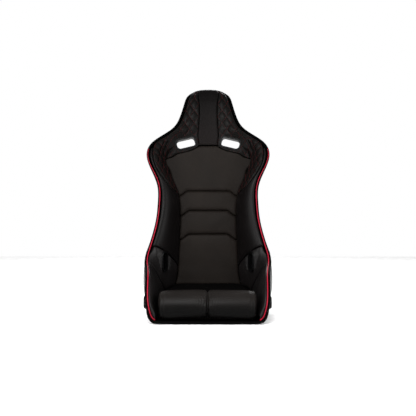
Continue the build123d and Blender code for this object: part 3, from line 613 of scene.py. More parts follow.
# -------------------- stitches
def sew(name, lines, mat, pitch, length, radius, both=True):
    """Short threads along lines of (points, normals). Each dips into the leather at its ends."""
    sides, stations = 6, np.linspace(-0.5, 0.5, 5)
    lift = 0.45 - 1.3 * (2 * stations) ** 4
    girth = radius * np.array([0.7, 0.95, 1.0, 0.95, 0.7])[:, None, None]
    turn = np.linspace(0, 2 * np.pi, sides, endpoint=False)[None, :, None]
    stitch_faces = ring_faces(len(stations), sides)
    points, faces = [], []
    for path, up in lines:
        reach = reach_along(path)
        count = int(reach[-1] // pitch)
        margin = (reach[-1] - count * pitch) / 2
        for k in range(count):
            at = margin + (k + 0.5) * pitch + stations * length
            center = interp_points(at, reach, path)
            out = unit(interp_points(at, reach, up))
            along = center[-1] - center[0]
            along /= max(np.linalg.norm(along), 1e-6)
            side = np.cross(along, out)
            center = center + lift[:, None] * out
            first = len(points) * len(stations) * sides
            rings = center[:, None] + girth * (np.cos(turn) * side[:, None] + np.sin(turn) * out[:, None])
            points.append(rings.reshape(-1, 3))
            faces += [tuple(first + corner for corner in face) for face in stitch_faces]
    points = np.concatenate(points)
    for side_name, sign in SIDES if both else (("", 1),):
        obj = add_object(name.format(side_name), points * (sign, 1, 1), faces, mat)


def seam_line(pad, side, distance):
    """A line on a pad's surface at a distance in mm from one of its edges."""
    grids = [pad.reach(side), *map(pad.reach, "bt" if side in "lr" else "lr"), pad.top, pad.normal]
    if side in "bt":
        grids = [np.swapaxes(grid, 0, 1) for grid in grids]
    points, ups = [], []
    for reach, start, end, top, normal in zip(*grids):
        order = np.argsort(reach)
        reach = reach[order]
        if reach[0] > distance or reach[-1] < distance:
            continue
        if min(np.interp(distance, reach, edge[order]) for edge in (start, end)) < distance:
            continue
        points.append(interp_points(distance, reach, top[order]))
        ups.append(interp_points(distance, reach, normal[order]))
    return np.array(points), np.array(ups)


# -------------------- slots cut in pads
def slot_local(points, slot_at):
    """Coordinates across, up and out of a slot, with the left side folded onto the right."""
    origin, across, up, axis = slot_at
    folded = points.copy()
    folded[..., 0] = np.abs(folded[..., 0])
    local = folded - origin
    return np.stack([local @ across, local @ up, local @ axis], -1)


def slot_reach(local, size):
    """Distance outside a slot's outline, and the way out."""
    half = np.array(size) / 2
    radius = size[1] * 0.4
    over = np.maximum(np.abs(local[..., :2]) - (half - radius), 0)
    length = np.linalg.norm(over, axis=-1)
    way = np.sign(local[..., :2]) * over / np.maximum(length, 1e-6)[..., None]
    return length - radius, way


def seat_on_flange(top, slot_at, size):
    """Lets the padding meet a bezel's flange all round."""
    local = slot_local(top, slot_at)
    reach, _ = slot_reach(local, size)
    beyond = np.maximum(reach - FLANGE, 0)
    near = np.abs(local[..., 2]) < 45
    level = np.clip(local[..., 2], -3.0 - 0.55 * beyond, 0.6 + 0.5 * beyond)
    shift = np.where(near, level - local[..., 2], 0)[..., None] * slot_at[3]
    shift[..., 0] *= np.sign(top[..., 0])
    return top + shift


def cut_slot(top, bottom, slot_at, size, grow=4.0):
    """Points and faces of a pad with a slot cut through it."""
    rows, columns = top.shape[:2]
    count = rows * columns
    origin, across, up, axis = slot_at
    quads = grid_faces(rows, columns)
    top, bottom = top.reshape(-1, 3).copy(), bottom.reshape(-1, 3).copy()
    mirror = np.where(top[:, :1] < 0, -1, 1) * (1, 0, 0) + (0, 1, 1)

    def moved(reach, way, goal):
        shift = (goal - reach)[:, None] * way
        return (shift[:, :1] * across + shift[:, 1:] * up) * mirror

    local = slot_local(top, slot_at)
    reach, way = slot_reach(local, size)
    gone = (reach[quads].mean(axis=1) < grow) & (np.abs(local[quads][..., 2]).min(axis=1) < 40)
    kept = quads[~gone]
    edge = np.isin(np.arange(count), quads[gone]) & np.isin(np.arange(count), kept)
    top[edge] += moved(reach, way, grow)[edge]
    # The bottom is pushed clear of the slot, and its edge lies straight below the top's.
    low = slot_local(bottom, slot_at)
    low_reach, low_way = slot_reach(low, size)
    inside = (low_reach < grow + 0.6) & (np.abs(low[:, 2]) < 90)
    bottom[inside] += moved(low_reach, low_way, grow + 0.6)[inside]
    snapped = slot_local(top[edge], slot_at)
    under = origin + snapped[:, :1] * across + snapped[:, 1:2] * up + low[edge, 2:] * axis
    bottom[edge] = under * mirror[edge]
    border = {(int(a), int(b)): None for face in kept for a, b in zip(face, np.roll(face, -1))}
    walls = [(b, a, a + count, b + count) for a, b in border if (b, a) not in border]
    return np.concatenate([top, bottom]), [*kept, *(kept[:, ::-1] + count), *walls]


def upholster(name, pad, relief, mat, nodes, hole=None, mirror=True, floor=0.04):
    """Makes a pad's pieces from its face, its relief and the shell under it."""
    top = pad.face + relief[..., None] * pad.normal
    bottom = pad.under + floor * (pad.face - pad.under)
    if hole:
        top = seat_on_flange(top, *hole)
    pad.top = top
    points, faces = cut_slot(top, bottom, *hole) if hole else closed_pad(top, bottom)
    for side, sign in SIDES if mirror else (("", 1),):
        obj = add_object(name.format(side), points * (sign, 1, 1), faces, mat)
        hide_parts(*[n.format(side) for n in nodes])


# -------------------- bolsters and hip pads
bolster = Pad(straight(0.5, *THIGH_SPAN), straight(1.0, *THIGH_SPAN), 190, 84)
relief = -edge_drop(bolster, 13, 5.5, "lbt") - edge_drop(bolster, 7, 3.0, "r")
relief += undulate(bolster, 0.9, 120, 1)
relief += puckers(bolster, "r", 0.35, 21, 2, 14) + puckers(bolster, "l", 0.3, 30, 3, 16)
upholster("thigh_bolster_cover_{}", bolster, relief, THIGH, ["thigh_bolster_{}", "thigh_foam_{}"])

hip = Pad(straight(0.5, *HIP_SPAN), straight(1.0, *HIP_SPAN), 110, 100)
relief = -edge_drop(hip, 11, 4.5, "lbt") - edge_drop(hip, 7, 3.0, "r")
relief += undulate(hip, 0.7, 90, 4)
relief += puckers(hip, "bt", 0.8, 19, 5, 22) + puckers(hip, "l", 0.35, 23, 6, 12)
# Gathers that stand square to the slot's bezel, all round it.
local = slot_local(hip.face, LAP)
reach, _ = slot_reach(local, LAP_SLOT)
turning = np.arctan2(local[..., 1], local[..., 0])
gathers = np.sin(13 * turning + 0.8 * np.sin(3 * turning))
relief += 0.9 * gathers * np.exp(-np.maximum(reach - FLANGE, 0) / 13) * smoothstep((reach - 7) / 6)
upholster("hip_pad_cover_{}", hip, relief, THIGH, ["hip_pad_{}", "hip_foam_{}"],
          hole=(LAP, LAP_SLOT))

# The quilted panel's inner and outer line, and the back bolster below it.
INNER = [(s, 0.5) for s in QUILT_CREASE] + [place(x, z) for x, z in QUILT_INNER] + [(QUILT_TOP, 0.62)]
OUTER = [QUILT_TIP] + [place(x, z) for x, z in QUILT_OUTER] + [(s, 1.0) for s in QUILT_EDGE + [QUILT_TOP]]
COUNT = len(OUTER)
BAND = run(OUTER)(np.linspace(0, 4.5 / (COUNT - 1), 60))
WAIST = np.concatenate([[(station, 0.5) for station in BACK_SPAN], BAND])
REACH = np.concatenate([[0, 0.5], np.linspace(0.56, 1, 60)])


def bolster_inner(v):
    return interp_points(v, REACH, WAIST)


def bolster_outer(v):
    return np.stack([np.interp(v, REACH, WAIST[:, 0]), np.ones_like(v)], axis=-1)


side_pad = Pad(bolster_inner, bolster_outer, 260, 84, gap=1.4)
relief = -edge_drop(side_pad, 12, 5.0, "lb") - edge_drop(side_pad, 7, 3.0, "r")
relief += undulate(side_pad, 1.0, 130, 7) + puckers(side_pad, "l", 0.35, 24, 8, 15)
relief -= edge_drop(side_pad, 6, 2.0, "t")
relief += puckers(side_pad, "b", 0.6, 20, 9, 20) + puckers(side_pad, "r", 0.25, 22, 10, 12)
upholster("back_bolster_cover_{}", side_pad, relief, BOLSTER, ["back_bolster_{}", "bolster_foam_{}"])

# -------------------- quilted panels
FINE_S = np.linspace(BACK_LOW, LAST, 1600)
UP_LENGTH = reach_along(face_point(FINE_S, np.zeros_like(FINE_S)))
FINE_U = np.linspace(0, 1, 161)


def cloth_xy(s, u):
    """Where a point of the face lies on the flat quilted cloth: mm across and mm up."""
    rows = np.linspace(BACK_LOW, LAST, 420)
    reach = reach_along(face_point(rows[:, None], FINE_U[None, :]), 1)
    row = np.clip((s - BACK_LOW) / (LAST - BACK_LOW) * (len(rows) - 1), 0, len(rows) - 1.001)
    column = np.clip(np.abs(u) * 160, 0, 159.999)
    i, j = row.astype(int), column.astype(int)
    a, b = row - i, column - j
    x = (reach[i, j] * (1 - a) + reach[i + 1, j] * a) * (1 - b)
    x += (reach[i, j + 1] * (1 - a) + reach[i + 1, j + 1] * a) * b
    return x, np.interp(s, FINE_S, UP_LENGTH)


def diamonds(x, z):
    """Puffed diamonds: 0 on the stitch lines and 1 in the middle."""
    across, up = x / DIAMOND[0], z / DIAMOND[1]
    a, b = (1 - np.abs(2 * (share % 1) - 1) for share in (across + up, across - up))
    return (1 - (1 - a) ** 2.4) * (1 - (1 - b) ** 2.4)


quilt = Pad(run(INNER), run(OUTER), 380, 72)
roll_over(quilt)
cloth_x, cloth_z = cloth_xy(quilt.s, quilt.u)
edge_reach = np.minimum(np.minimum(quilt.left, quilt.right), np.minimum(quilt.low, quilt.high))
puff = 3.6 * diamonds(cloth_x, cloth_z) * (0.25 + 0.75 * smoothstep(edge_reach / 14))
flange_reach, _ = slot_reach(slot_local(quilt.face, HARNESS), HARNESS_SLOT)
puff *= smoothstep((flange_reach - 5) / 16)
base = -edge_drop(quilt, 9, 3.4, "lrb") - 5.0 * smoothstep((46 - quilt.high) / 22)
base += undulate(quilt, 0.5, 120, 11) - 0.6
upholster("quilted_cover_{}", quilt, base + puff, QUILT, ["quilted_panel_{}"],
          hole=(HARNESS, HARNESS_SLOT))

# The stitch lines, followed over the cloth and kept inside the panel.
OUTLINE = np.concatenate([run(INNER)(np.linspace(0, 1, 400)), run(OUTER)(np.linspace(1, 0, 400))])
HOLE_REACH = 9.0


def inside_outline(s, u):
    """Which points lie inside the panel: those with an odd number of its edges above them."""
    a, b = OUTLINE, np.roll(OUTLINE, -1, axis=0)
    crosses = (a[:, 1] > u[:, None]) != (b[:, 1] > u[:, None])
    rise = np.where(b[:, 1] == a[:, 1], 1e-9, b[:, 1] - a[:, 1])
    level = a[:, 0] + (u[:, None] - a[:, 1]) * (b[:, 0] - a[:, 0]) / rise
    return (crosses & (s[:, None] < level)).sum(axis=1) % 2 == 1


def cloth_to_face(x, z):
    """The station and share of cloth points."""
    s = np.interp(z, UP_LENGTH, FINE_S)
    reach = reach_along(face_point(s[:, None], FINE_U[None, :]), 1)
    u = np.array([np.interp(value, line, FINE_U, right=2.0) for value, line in zip(x, reach)])
    return s, u


flat_top, way_out = quilt.plain.reshape(-1, 3), quilt.normal.reshape(-1, 3)
bend = (quilt.face - quilt.plain).reshape(-1, 3)
height_grid = (quilt.top - quilt.face).reshape(-1, 3)
sunk = base.reshape(-1)
quilt_lines = []
for slope in (1, -1):
    for index in range(-24, 40):
        z = np.arange(0, UP_LENGTH[-1], 1.2)
        x = DIAMOND[0] * (index - slope * z / DIAMOND[1])
        good = (x > 0) & (x < 420)
        if good.sum() < 8:
            continue
        s, u = cloth_to_face(x[good], z[good])
        inside = inside_outline(s, u) & (u <= 1)
        u = np.minimum(u, 1)
        spots, ups = face_point(s, u), normals(face_point, s, np.minimum(u, 0.998))
        near, _ = slot_reach(slot_local(spots, HARNESS), HARNESS_SLOT)
        inside &= near > HOLE_REACH
        for piece in np.split(np.arange(len(s)), np.where(~inside)[0]):
            piece = piece[inside[piece]]
            if len(piece) < 6:
                continue
            nearest = ((spots[piece][:, None] - flat_top[None, ::3]) ** 2).sum(-1).argmin(axis=1) * 3
            bent = np.linalg.norm(bend[nearest], axis=-1)[:, None] > 0.01
            up = np.where(bent, way_out[nearest], ups[piece])
            offset = (height_grid[nearest] * up).sum(-1)
            lifted = np.minimum(offset, sunk[nearest] + 0.5)
            quilt_lines.append((spots[piece] + bend[nearest] + lifted[:, None] * up, up))
sew("quilt_stitches_{}", quilt_lines, RED_THREAD, pitch=4.0, length=3.3, radius=0.62)

# -------------------- headrest strip, upper back and lumbar panels
STRIP_LOW = 8.4 / (COUNT - 1)


def strip_side(sign):
    return lambda v: run(INNER)(STRIP_LOW + np.asarray(v) * (1 - STRIP_LOW)) * (1, sign)


strip = Pad(strip_side(-1), strip_side(1), 170, 60)
roll_over(strip)
relief = -edge_drop(strip, 9, 3.4, "lrb") + undulate(strip, 0.5, 110, 12)
relief += puckers(strip, "lr", 0.25, 20, 13, 9)
upholster("headrest_strip_cover", strip, relief, STRIP, ["head_strip", "head_foam"],
          mirror=False, hole=(HARNESS, HARNESS_SLOT))


class GridPad(Pad):
    """A pad whose grid is given, from edge to edge."""

    def __init__(self, s, u):
        self.s, self.u = s, u
        self.face, self.under = face_point(s, u), under_point(s, u)
        nudged = np.where(np.abs(u) > 1e-3, u, 1e-3)
        self.normal = normals(face_point, s, nudged)
        self.across, self.along = reach_along(self.face, 1), reach_along(self.face, 0)
        self.left, self.right = self.across, self.across[:, -1:] - self.across
        self.low, self.high = self.along, self.along[-1:] - self.along


def across_seam(index):
    """A seam's station at a share across: level in the middle and dropping towards its ends."""
    station, drop = LUMBAR_SEAMS[index]
    return lambda u: station - drop * smoothstep((np.abs(u) * 2 - 0.62) / 0.38)


def lumbar_pad(index, rows, columns):
    """The pad between a seam and the next one up."""
    lower, upper = across_seam(index), across_seam(index + 1)
    inset_u, inset_s = 0.5 * SEAM_GAP / 130, SEAM_GAP / 78
    u = np.linspace(-0.5 + inset_u, 0.5 - inset_u, columns)[None, :]
    v = np.linspace(0, 1, rows)[:, None]
    s = lower(u) + inset_s + (upper(u) - lower(u) - 2 * inset_s) * v
    return GridPad(*np.broadcast_arrays(s, u))


center_pads = []
for index, (name, rows) in enumerate((("lower", 130), ("middle", 80), ("upper", 70))):
    pad = lumbar_pad(index, rows, 130)
    width = np.clip(pad.left / pad.across[:, -1:], 0, 1)
    tall = pad.low / (pad.low + pad.high)
    crown = 3.2 * (4 * tall * (1 - tall)) ** 0.6 * (4 * width * (1 - width)) ** 0.35
    relief = crown - 1.6 - edge_drop(pad, 17, 7.5, "bt") - edge_drop(pad, 13, 5.5, "lr")
    relief += undulate(pad, 0.6, 100, 20 + index) + puckers(pad, "bt", 0.5, 17, 30 + index, 13)
    relief += puckers(pad, "lr", 0.4, 19, 40 + index, 12)
    upholster(f"lumbar_cover_{name}", pad, relief, PANEL, [f"lumbar_panel_{name}"],
              mirror=False, floor=0.05)
    center_pads.append(pad)

w = np.linspace(-1, 1, 150)[None, :]
side = run(INNER)(np.linspace(0, 8.3 / (COUNT - 1), 300))
level = across_seam(3)(0.5 * w) + SEAM_GAP / 78
start, end = side[0, 0], side[-1, 0]
edge_s = np.linspace(start, end, 190)[:, None]
edge_u = np.interp(edge_s, side[:, 0], side[:, 1])
s = level + (end - SEAM_GAP / 76 - level) * (edge_s - start) / (end - start)
u = w * (edge_u - 1.2 * SEAM_GAP / 260)
upper_back = GridPad(*np.broadcast_arrays(s, u))
tall = upper_back.low / (upper_back.low + upper_back.high)
relief = 2.2 * (4 * tall * (1 - tall)) ** 0.6 - 1.2 - edge_drop(upper_back, 15, 6.0, "bt")
relief += -edge_drop(upper_back, 12, 4.6, "lr") + undulate(upper_back, 0.8, 140, 50)
relief += puckers(upper_back, "b", 0.45, 18, 51, 13) + puckers(upper_back, "lr", 0.3, 22, 52, 12)
upholster("upper_back_cover", upper_back, relief, PANEL, ["upper_back_panel", "back_foam"],
          mirror=False, hole=(HARNESS, HARNESS_SLOT))


def top_stitch(name, edges, both):
    """Black stitches beside edges of pads."""
    lines = [seam_line(pad, side, TOP_STITCH_INSET) for pad, sides in edges for side in sides]
    lines = [line for line in lines if len(line[0]) > 4]
    sew(name, lines, BLACK_THREAD, pitch=4.6, length=3.5, radius=0.55, both=both)


panels = [(strip, "lrbt"), (upper_back, "lrbt")] + [(pad, "bt") for pad in center_pads]
top_stitch("panel_stitches", panels, both=False)
top_stitch("bolster_stitches_{}", [(bolster, "t"), (side_pad, "lb")], both=True)


# -------------------- edge trim and piping
def edge_frames(s, u, tangent, inner):
    """Middle of the shell's edge, its normal towards the driver and the way out of the edge."""
    normal = normals(shell_point, np.clip(s, 0.01, LAST - 0.01), np.clip(u, -0.999, 0.999))
    out = unit(np.cross(tangent, normal))
    out *= np.sign((out * (shell_point(s, u) - inner)).sum(axis=-1))[:, None]
    return shell_point(s, u) - SHELL_THICKNESS / 2 * normal, normal, out


def rim_frames(s, side):
    """Frames along the rim of one side, which is 1 or -1."""
    u, inside = np.full_like(s, side), np.clip(s, 0.01, LAST - 0.01)
    tangent = shell_point(np.clip(inside + SLOPE_STEP, 0, LAST), u) - shell_point(inside - SLOPE_STEP, u)
    return edge_frames(s, u, tangent, shell_point(s, u * 0.98))


def end_frames(u, station):
    """Frames across the first or the last station."""
    s = np.full_like(u, station)
    after, before = (shell_point(s, np.clip(u + step, -1, 1)) for step in (SLOPE_STEP, -SLOPE_STEP))
    inner = shell_point(np.full_like(u, 0.02 if station == 0 else LAST - 0.02), u)
    return edge_frames(s, u, after - before, inner)


def sweep(name, frames, profile, mat, replaced):
    """A profile of (along normal, along out) points swept round a closed run of frames."""
    middle, normal, out = frames
    profile = np.array(profile)
    rings = middle[:, None] + profile[None, :, :1] * normal[:, None] + profile[None, :, 1:] * out[:, None]
    count, length = rings.shape[:2]
    obj = add_object(name, rings.reshape(-1, 3), loop_faces(count + 1, length, count), mat)
    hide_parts(*replaced)


# The shell's edge in four runs: up one side, across the top, down the other side and across the front.
# Where two runs meet they share one frame, mitred between them.
half = SHELL_THICKNESS / 2 + 0.15
wide = half + 2.3
sides = [
    rim_frames(np.linspace(0, LAST, 260), 1.0),
    end_frames(np.linspace(1, -1, 60), LAST),
    rim_frames(np.linspace(LAST, 0, 260), -1.0),
    end_frames(np.linspace(-1, 1, 140), 0),
]
runs = [[part.copy() for part in side] for side in sides]
for i in range(4):
    one, two = runs[i], runs[(i + 1) % 4]
    middle = (one[0][-1] + two[0][0]) / 2
    normal = unit(one[1][-1] + two[1][0])
    bisector = one[2][-1] + two[2][0]
    bisector = unit(bisector - normal * (bisector @ normal))
    one[0][-1], one[1][-1] = middle, normal
    one[2][-1] = bisector / max(float(bisector @ one[2][-1]), 0.6)
    for k in range(3):
        two[k] = two[k][1:]
trim_frames = [np.concatenate([part[k] for part in runs]) for k in range(3)]
crown = [(-wide, -7.0), (-wide, 0.4)]
crown += [(wide * math.cos(a), 0.6 + 2.0 * math.sin(a)) for a in np.radians(np.linspace(170, 10, 9))]
crown += [(wide, 0.4), (wide, -7.0), (wide - 0.9, -7.6), (half, -7.0)]
crown += [(half, 0.2), (-half, 0.2), (-half, -7.0), (-wide + 0.9, -7.6)]
sweep("edge_trim_rubber", trim_frames, crown, RUBBER, ["edge_trim"])


def even_path(points, step, soften):
    """A path cut into even steps, with its corners softened by running averages."""
    reach = reach_along(points)
    path = interp_points(np.linspace(0, reach[-1], int(reach[-1] / step) + 1), reach, points)
    for _ in range(soften):
        path[1:-1] = (path[:-2] + path[1:-1] + path[2:]) / 3
    return path


def tube(name, path, radius, mat, replaced):
    """A round tube along a path, drawn in at its ends and faintly wrinkled."""
    tangent = unit(np.gradient(path, axis=0))
    frames_u = [unit(np.cross(tangent[0], (0.3, 0.5, 0.8)))]
    for t in tangent[1:]:
        frames_u.append(unit(frames_u[-1] - t * np.dot(frames_u[-1], t)))
    frames_u = np.array(frames_u)
    frames_v = np.cross(tangent, frames_u)
    reach = reach_along(path)
    ends = np.clip(np.minimum(reach, reach[-1] - reach) / radius, 0.02, 1)
    girth = radius * np.sqrt(1 - (1 - ends) ** 2)
    turn = np.linspace(0, 2 * np.pi, TUBE_SIDES, endpoint=False)
    reach = reach[:, None]
    ripple = 1 + TUBE_WRINKLE * np.sin(reach / 4.8 * TURN + 1.4 * np.sin(turn + reach / 37))
    ripple += 0.5 * TUBE_WRINKLE * np.sin(reach / 11.3 * TURN + 2 * turn)
    size = girth[:, None] * ripple
    rings = path[:, None] + (size * np.cos(turn))[..., None] * frames_u[:, None]
    rings += (size * np.sin(turn))[..., None] * frames_v[:, None]
    obj = ring_object(name, rings, mat)
    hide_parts(replaced)


# The piping follows the trim and tucks in behind it towards the shoulders, where it thins out.
stations = np.linspace(14.5, 0.42, 900)
middle, normal, out = rim_frames(stations, 1.0)
tucked = smoothstep((stations - 12.4) / 1.4)[:, None]
side_run = middle + (5.6 - 4.6 * tucked) * normal + (TRIM_CROWN + PIPING_RADIUS + 0.2 - 2.8 * tucked) * out
middle, normal, out = end_frames(np.linspace(0.955, 0.80, 40), 0)
front_run = middle + 8.6 * normal - 0.5 * out
red_path = even_path(np.concatenate([side_run, front_run]), 1.6, 60)
height = red_path[:, 2]
red_radius = 1.9 - 0.6 * smoothstep((height - 330) / 250) - 0.4 * smoothstep((height - 640) / 80)
for name, sign in SIDES:
    path = red_path * (sign, 1, 1)
    tube(f"red_piping_{name}", path, red_radius, RED_VINYL, f"piping_{name}")


# -------------------- seat cushion and thigh roll
def inflate(obj, voxel, pressure, cap, steps=18):
    """Fills a closed shape with air under a cloth cover and keeps what it becomes.

    A point moves by no more than cap, in mm."""
    remesh = obj.modifiers.new("remesh", "REMESH")
    remesh.mode, remesh.voxel_size = "VOXEL", voxel
    bake_down(obj)
    start = coordinates(obj)
    cloth = obj.modifiers.new("cloth", "CLOTH")
    settings = cloth.settings
    settings.use_pressure, settings.uniform_pressure_force = True, pressure
    settings.effector_weights.gravity = 0
    settings.tension_stiffness = settings.compression_stiffness = 25
    settings.shear_stiffness, settings.bending_stiffness = 15, 1.5
    settings.quality = 6
    cloth.collision_settings.use_collision = False
    scene = bpy.context.scene
    for frame_number in range(1, steps + 1):
        scene.frame_set(frame_number)
    bake_down(obj)
    scene.frame_set(1)
    move = coordinates(obj) - start
    length = np.linalg.norm(move, axis=-1)
    move *= np.minimum(1, cap / np.maximum(length, 1e-6))[:, None]
    set_coordinates(obj, start + move)


def bake_down(obj):
    """Replaces a mesh by what its modifiers make of it."""
    graph = bpy.context.evaluated_depsgraph_get()
    made = bpy.data.meshes.new_from_object(obj.evaluated_get(graph), depsgraph=graph)
    materials = [slot.material for slot in obj.material_slots]
    old = obj.data
    obj.modifiers.clear()
    obj.data = made
    made.materials.clear()
    for mat in materials:
        made.materials.append(mat)
    bpy.data.meshes.remove(old)


def subdivide(obj):
    modifier = obj.modifiers.new("subdivision", "SUBSURF")
    modifier.levels = modifier.render_levels = 1
    bake_down(obj)
    obj.data.polygons.foreach_set("use_smooth", [True] * len(obj.data.polygons))


def coordinates(obj):
    """A mesh's points in mm, as the CAD source has them."""
    points = np.empty(len(obj.data.vertices) * 3)
    obj.data.vertices.foreach_get("co", points)
    return points.reshape(-1, 3) * 1000 + (0, MIDDLE_Y, 0)


def set_coordinates(obj, points):
    obj.data.vertices.foreach_set("co", metres(points).ravel())
    obj.data.update()


def roll_section():
    """Outline of the thigh roll from the side, as (y, z)."""
    knots = [
        (-188.5, 103), (-205, 116), (-232, 122.5), (-262, 117), (-286, 96), (-297, 66), (-291, 36),
        (-272, 15), (-248, 14), (-215, 14), (-188.5, 14), (-188.5, 58),
    ]
    track = Track(knots + knots[:1])
    return track(np.linspace(0, len(knots), 97)[:-1])


section = roll_section()
rings = []
for x in ROLL_HALF * np.sin(np.linspace(-np.pi / 2, np.pi / 2, 89)):
    near_end = np.clip((np.abs(x) - (ROLL_HALF - ROLL_END)) / ROLL_END, 0, 1)
    size = math.sqrt(max(1 - near_end**2.6, 0.0)) * 0.42 + 0.58
    if abs(abs(x) - ROLL_HALF) < 1e-6:
        size = 0.56
    ring = ROLL_MIDDLE + (section - ROLL_MIDDLE) * size
    rings.append(np.concatenate([np.full((len(ring), 1), x), ring], axis=1))
roll = ring_object("thigh_roll_cushion", np.array(rings), ROLL, "seat_cushion")
inflate(roll, 0.005, 4.0, 8.0)
subdivide(roll)

# The roll's skin is drawn in at its centre seam, with folds beside it that fade out over a few centimetres,
# and at the seams near its ends. turn goes round the roll and a is the distance from the centre seam.
points = coordinates(roll)
rng = np.random.default_rng(60)
rel = points[:, 1:] - ROLL_MIDDLE
way = unit(rel)
turn = np.arctan2(rel[:, 1], -rel[:, 0])
a = np.abs(points[:, 0])
shown = smoothstep((turn + 1.35) / 0.5) * smoothstep((2.3 - turn) / 0.5)
gather = np.zeros(len(points))
for _ in range(5):
    frequency, phase = rng.uniform(17, 31), rng.uniform(0, 6.28)
    gather += np.sin(turn * frequency + phase + points[:, 0] * rng.uniform(-0.03, 0.03))
gather /= 2.4
shift = -8.0 * np.exp(-((a / 4.2) ** 2)) - 3.0 * np.exp(-a / 20)
slant = a + 3.0 * np.sin(2.4 * turn + 0.7) + 2.0 * np.sin(5 * turn + np.sign(points[:, 0]))
shift += 2.0 * np.cos(slant / 10.0 * TURN) * np.exp(-a / 17) * smoothstep((a - 4) / 4)
shift += 0.35 * gather * np.exp(-a / 20) * smoothstep(a / 5)
shift += 1.3 * np.exp(-(((a - 179) / 4.5) ** 2)) - 1.3 * np.exp(-(((a - 169) / 5) ** 2))
shift += 0.15 * gather * smoothstep((a - 150) / 26)
shift += 0.7 * np.sin(points[:, 0] / 47 + 1.3 * turn) * smoothstep((a - 12) / 20)
points[:, 1:] += (shift * shown)[:, None] * way
set_coordinates(roll, np.clip(points, (-190.5, -301.5, 12.8), (190.5, -188.2, 126.0)))
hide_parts("thigh_roll_cover", "thigh_roll_foam")

# The flat cushion: rings from under its middle, out, up its sides and in over its top.
corner = [(CUSHION_HALF, 0), (180, 24), (166, 50), (149, 72), (130, 89), (103, 101)]
outline = [(CUSHION_HALF, y) for y in np.linspace(-187, -12, 12)]
outline += corner + [(60, 103), (0, 104), (-60, 103)]
outline += [(-x, y) for x, y in reversed(corner)]
outline += [(-CUSHION_HALF, y) for y in np.linspace(-12, -187, 12)]
outline += [(x, -187.0) for x in np.linspace(-170, 170, 18)]
outline = Track(outline + outline[:1])(np.linspace(0, len(outline), 181)[:-1])
crown_line = Track([(-187, 104), (-150, 109), (-90, 112), (-20, 113), (50, 112), (105, 107)])
crown_line = crown_line(np.linspace(0, 5, 200))
# Each ring's share of the outline, and its level from the underside to the top.
CUSHION_RINGS = [
    (0.02, 0), (0.3, 0), (0.6, 0), (0.85, 0), (0.96, 0), (0.99, 0.06), (1, 0.2), (1, 0.4), (1, 0.6),
    (1, 0.78), (0.996, 0.9), (0.98, 0.965), (0.955, 0.99), (0.9, 1), (0.75, 1), (0.5, 1), (0.25, 1),
    (0.02, 1),
]


def cushion_top(y):
    return np.interp(y, crown_line[:, 0], crown_line[:, 1])


def cushion_bottom(y):
    return 9.8 + np.clip((y - 48) / 57, 0, 1) * 52


rings = []
for share, level in CUSHION_RINGS:
    x, y = outline[:, 0] * share, CUSHION_MIDDLE_Y + (outline[:, 1] - CUSHION_MIDDLE_Y) * share
    low, high = cushion_bottom(y), cushion_top(y)
    rings.append(np.stack([x, y, low + (high - low) * level], -1))
cushion = ring_object("seat_cushion_pad", np.array(rings), CUSHION, "seat_cushion")
inflate(cushion, 0.006, 4.0, 10.0)
subdivide(cushion)

# A sewn groove below its top edge, a slow unevenness on top and a shallow hollow where the driver sits.
points = coordinates(cushion)
x, y, z = points.T
top, bottom = cushion_top(y), cushion_bottom(y)
side = smoothstep((np.abs(x) - 150) / 20) + smoothstep((y - 60) / 30) + smoothstep((-165 - y) / 12)
groove = np.exp(-(((z - top + 17) / 2.6) ** 2)) * np.clip(side, 0, 1)
inward = np.stack([-x / CUSHION_HALF, (CUSHION_MIDDLE_Y - y) / 145], -1)
inward /= np.maximum(np.linalg.norm(inward, axis=1), 1e-6)[:, None]
points[:, :2] += 2.4 * groove[:, None] * inward
on_top = smoothstep((z - top + 10) / 8)
wave = np.sin(x / 61 + 1.1) * np.sin(y / 47 + 0.4) + 0.6 * np.sin(x / 29 + y / 37)
points[:, 2] += on_top * 0.9 * wave
points[:, 2] -= on_top * 3.0 * np.exp(-((x / 80) ** 2) - ((y - 10) / 90) ** 2)
points = np.maximum(points, np.stack([np.full_like(x, -186), np.full_like(x, -187.3), bottom + 0.1], -1))
points[:, 0] = np.minimum(points[:, 0], 186)
set_coordinates(cushion, points)
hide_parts("seat_cushion_cover", "seat_cushion_foam")

# -------------------- hard parts that stay as the CAD has them
# The first word found in a node's name gives its material.
CAD_MATERIALS = {
    "screws": SCREW_STEEL, "shell": GELCOAT, "bezel": PLASTIC, "mount_inserts": INSERT_STEEL,
    "mount_plates": PLATE_PAINT, "tape": TAPE,
}
for name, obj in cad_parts.items():
    mat = next((mat for word, mat in CAD_MATERIALS.items() if word in name), None)
    if mat:
        for slot in obj.material_slots:
            slot.material = mat

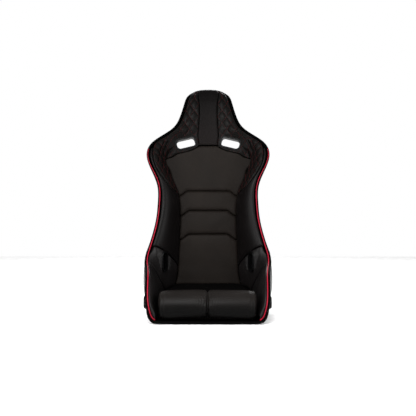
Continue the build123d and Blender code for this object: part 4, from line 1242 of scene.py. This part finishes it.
# -------------------- floor, light and camera
# Strength of the sky by the height that it is seen at: 0 at the horizon, 1 overhead.
DOME = [(0.001, 0.22), (0.45, 1.0), (0.7, 1.0), (0.999, 0.3)]
floor_mat = moulded("studio_floor", (0.93, 0.93, 0.93), 0.75, 60.0, 0.01)
bpy.ops.mesh.primitive_plane_add(size=7, location=(0, 0, cad_bounds[0][2] - 0.0008))
floor = bpy.context.object
floor.name = "studio_floor"
floor.data.materials.append(floor_mat)

world = bpy.data.worlds.new("studio")
bpy.context.scene.world = world
world.use_nodes = True
backdrop = world.node_tree.nodes["Background"]
backdrop.inputs["Color"].default_value = (1.0, 1.0, 1.0, 1)

# Soft light from above that fades towards the horizon, in front of a white backdrop.
kinds = ("TexCoord", "SeparateXYZ", "ValToRGB", "LightPath")
sky, height, dome, ray = (node(world, f"ShaderNode{kind}") for kind in kinds)
for place_on, level in DOME:
    stop = dome.color_ramp.elements.new(place_on)
    stop.color = (level, level, level, 1)
for unused in (0, -1):
    dome.color_ramp.elements.remove(dome.color_ramp.elements[unused])
shown = node(world, "ShaderNodeMath", operation="MAXIMUM")
wire(world, sky, "Generated", height, 0)
wire(world, height, "Z", dome, "Fac")
wire(world, dome, "Color", shown, 0)
wire(world, ray, "Is Camera Ray", shown, 1)
wire(world, shown, "Value", backdrop, "Strength")


def softbox(name, place_at, aim, size, power):
    """A rectangular lamp that faces a point."""
    light = bpy.data.lights.new(name, "AREA")
    light.shape, light.size, light.size_y, light.energy = "RECTANGLE", size[0], size[1], power
    obj = new_object(name, light)
    obj.location = place_at
    obj.rotation_euler = (Vector(aim) - Vector(place_at)).to_track_quat("-Z", "Y").to_euler()


softbox("key_light", (-0.7, -2.7, 2.5), (0, 0, 0.4), (1.6, 1.2), 150)
softbox("fill_light_right", (2.3, -2.1, 1.1), (0, 0, 0.3), (1.2, 1.6), 65)
softbox("fill_light_left", (-2.3, -2.1, 1.1), (0, 0, 0.3), (1.2, 1.6), 65)
softbox("rear_light", (0.3, 2.4, 2.2), (0, 0.2, 0.6), (2.0, 1.2), 70)

bpy.context.scene.view_settings.view_transform = "Standard"
camera_data = bpy.data.cameras.new("camera")
camera_data.sensor_width, camera_data.lens = 36.0, 62.2
camera = new_object("camera", camera_data)
camera.location = (0.016, -3.0204, 0.44)
camera.rotation_euler = (math.radians(90), 0, math.radians(0.3))
bpy.context.scene.camera = camera
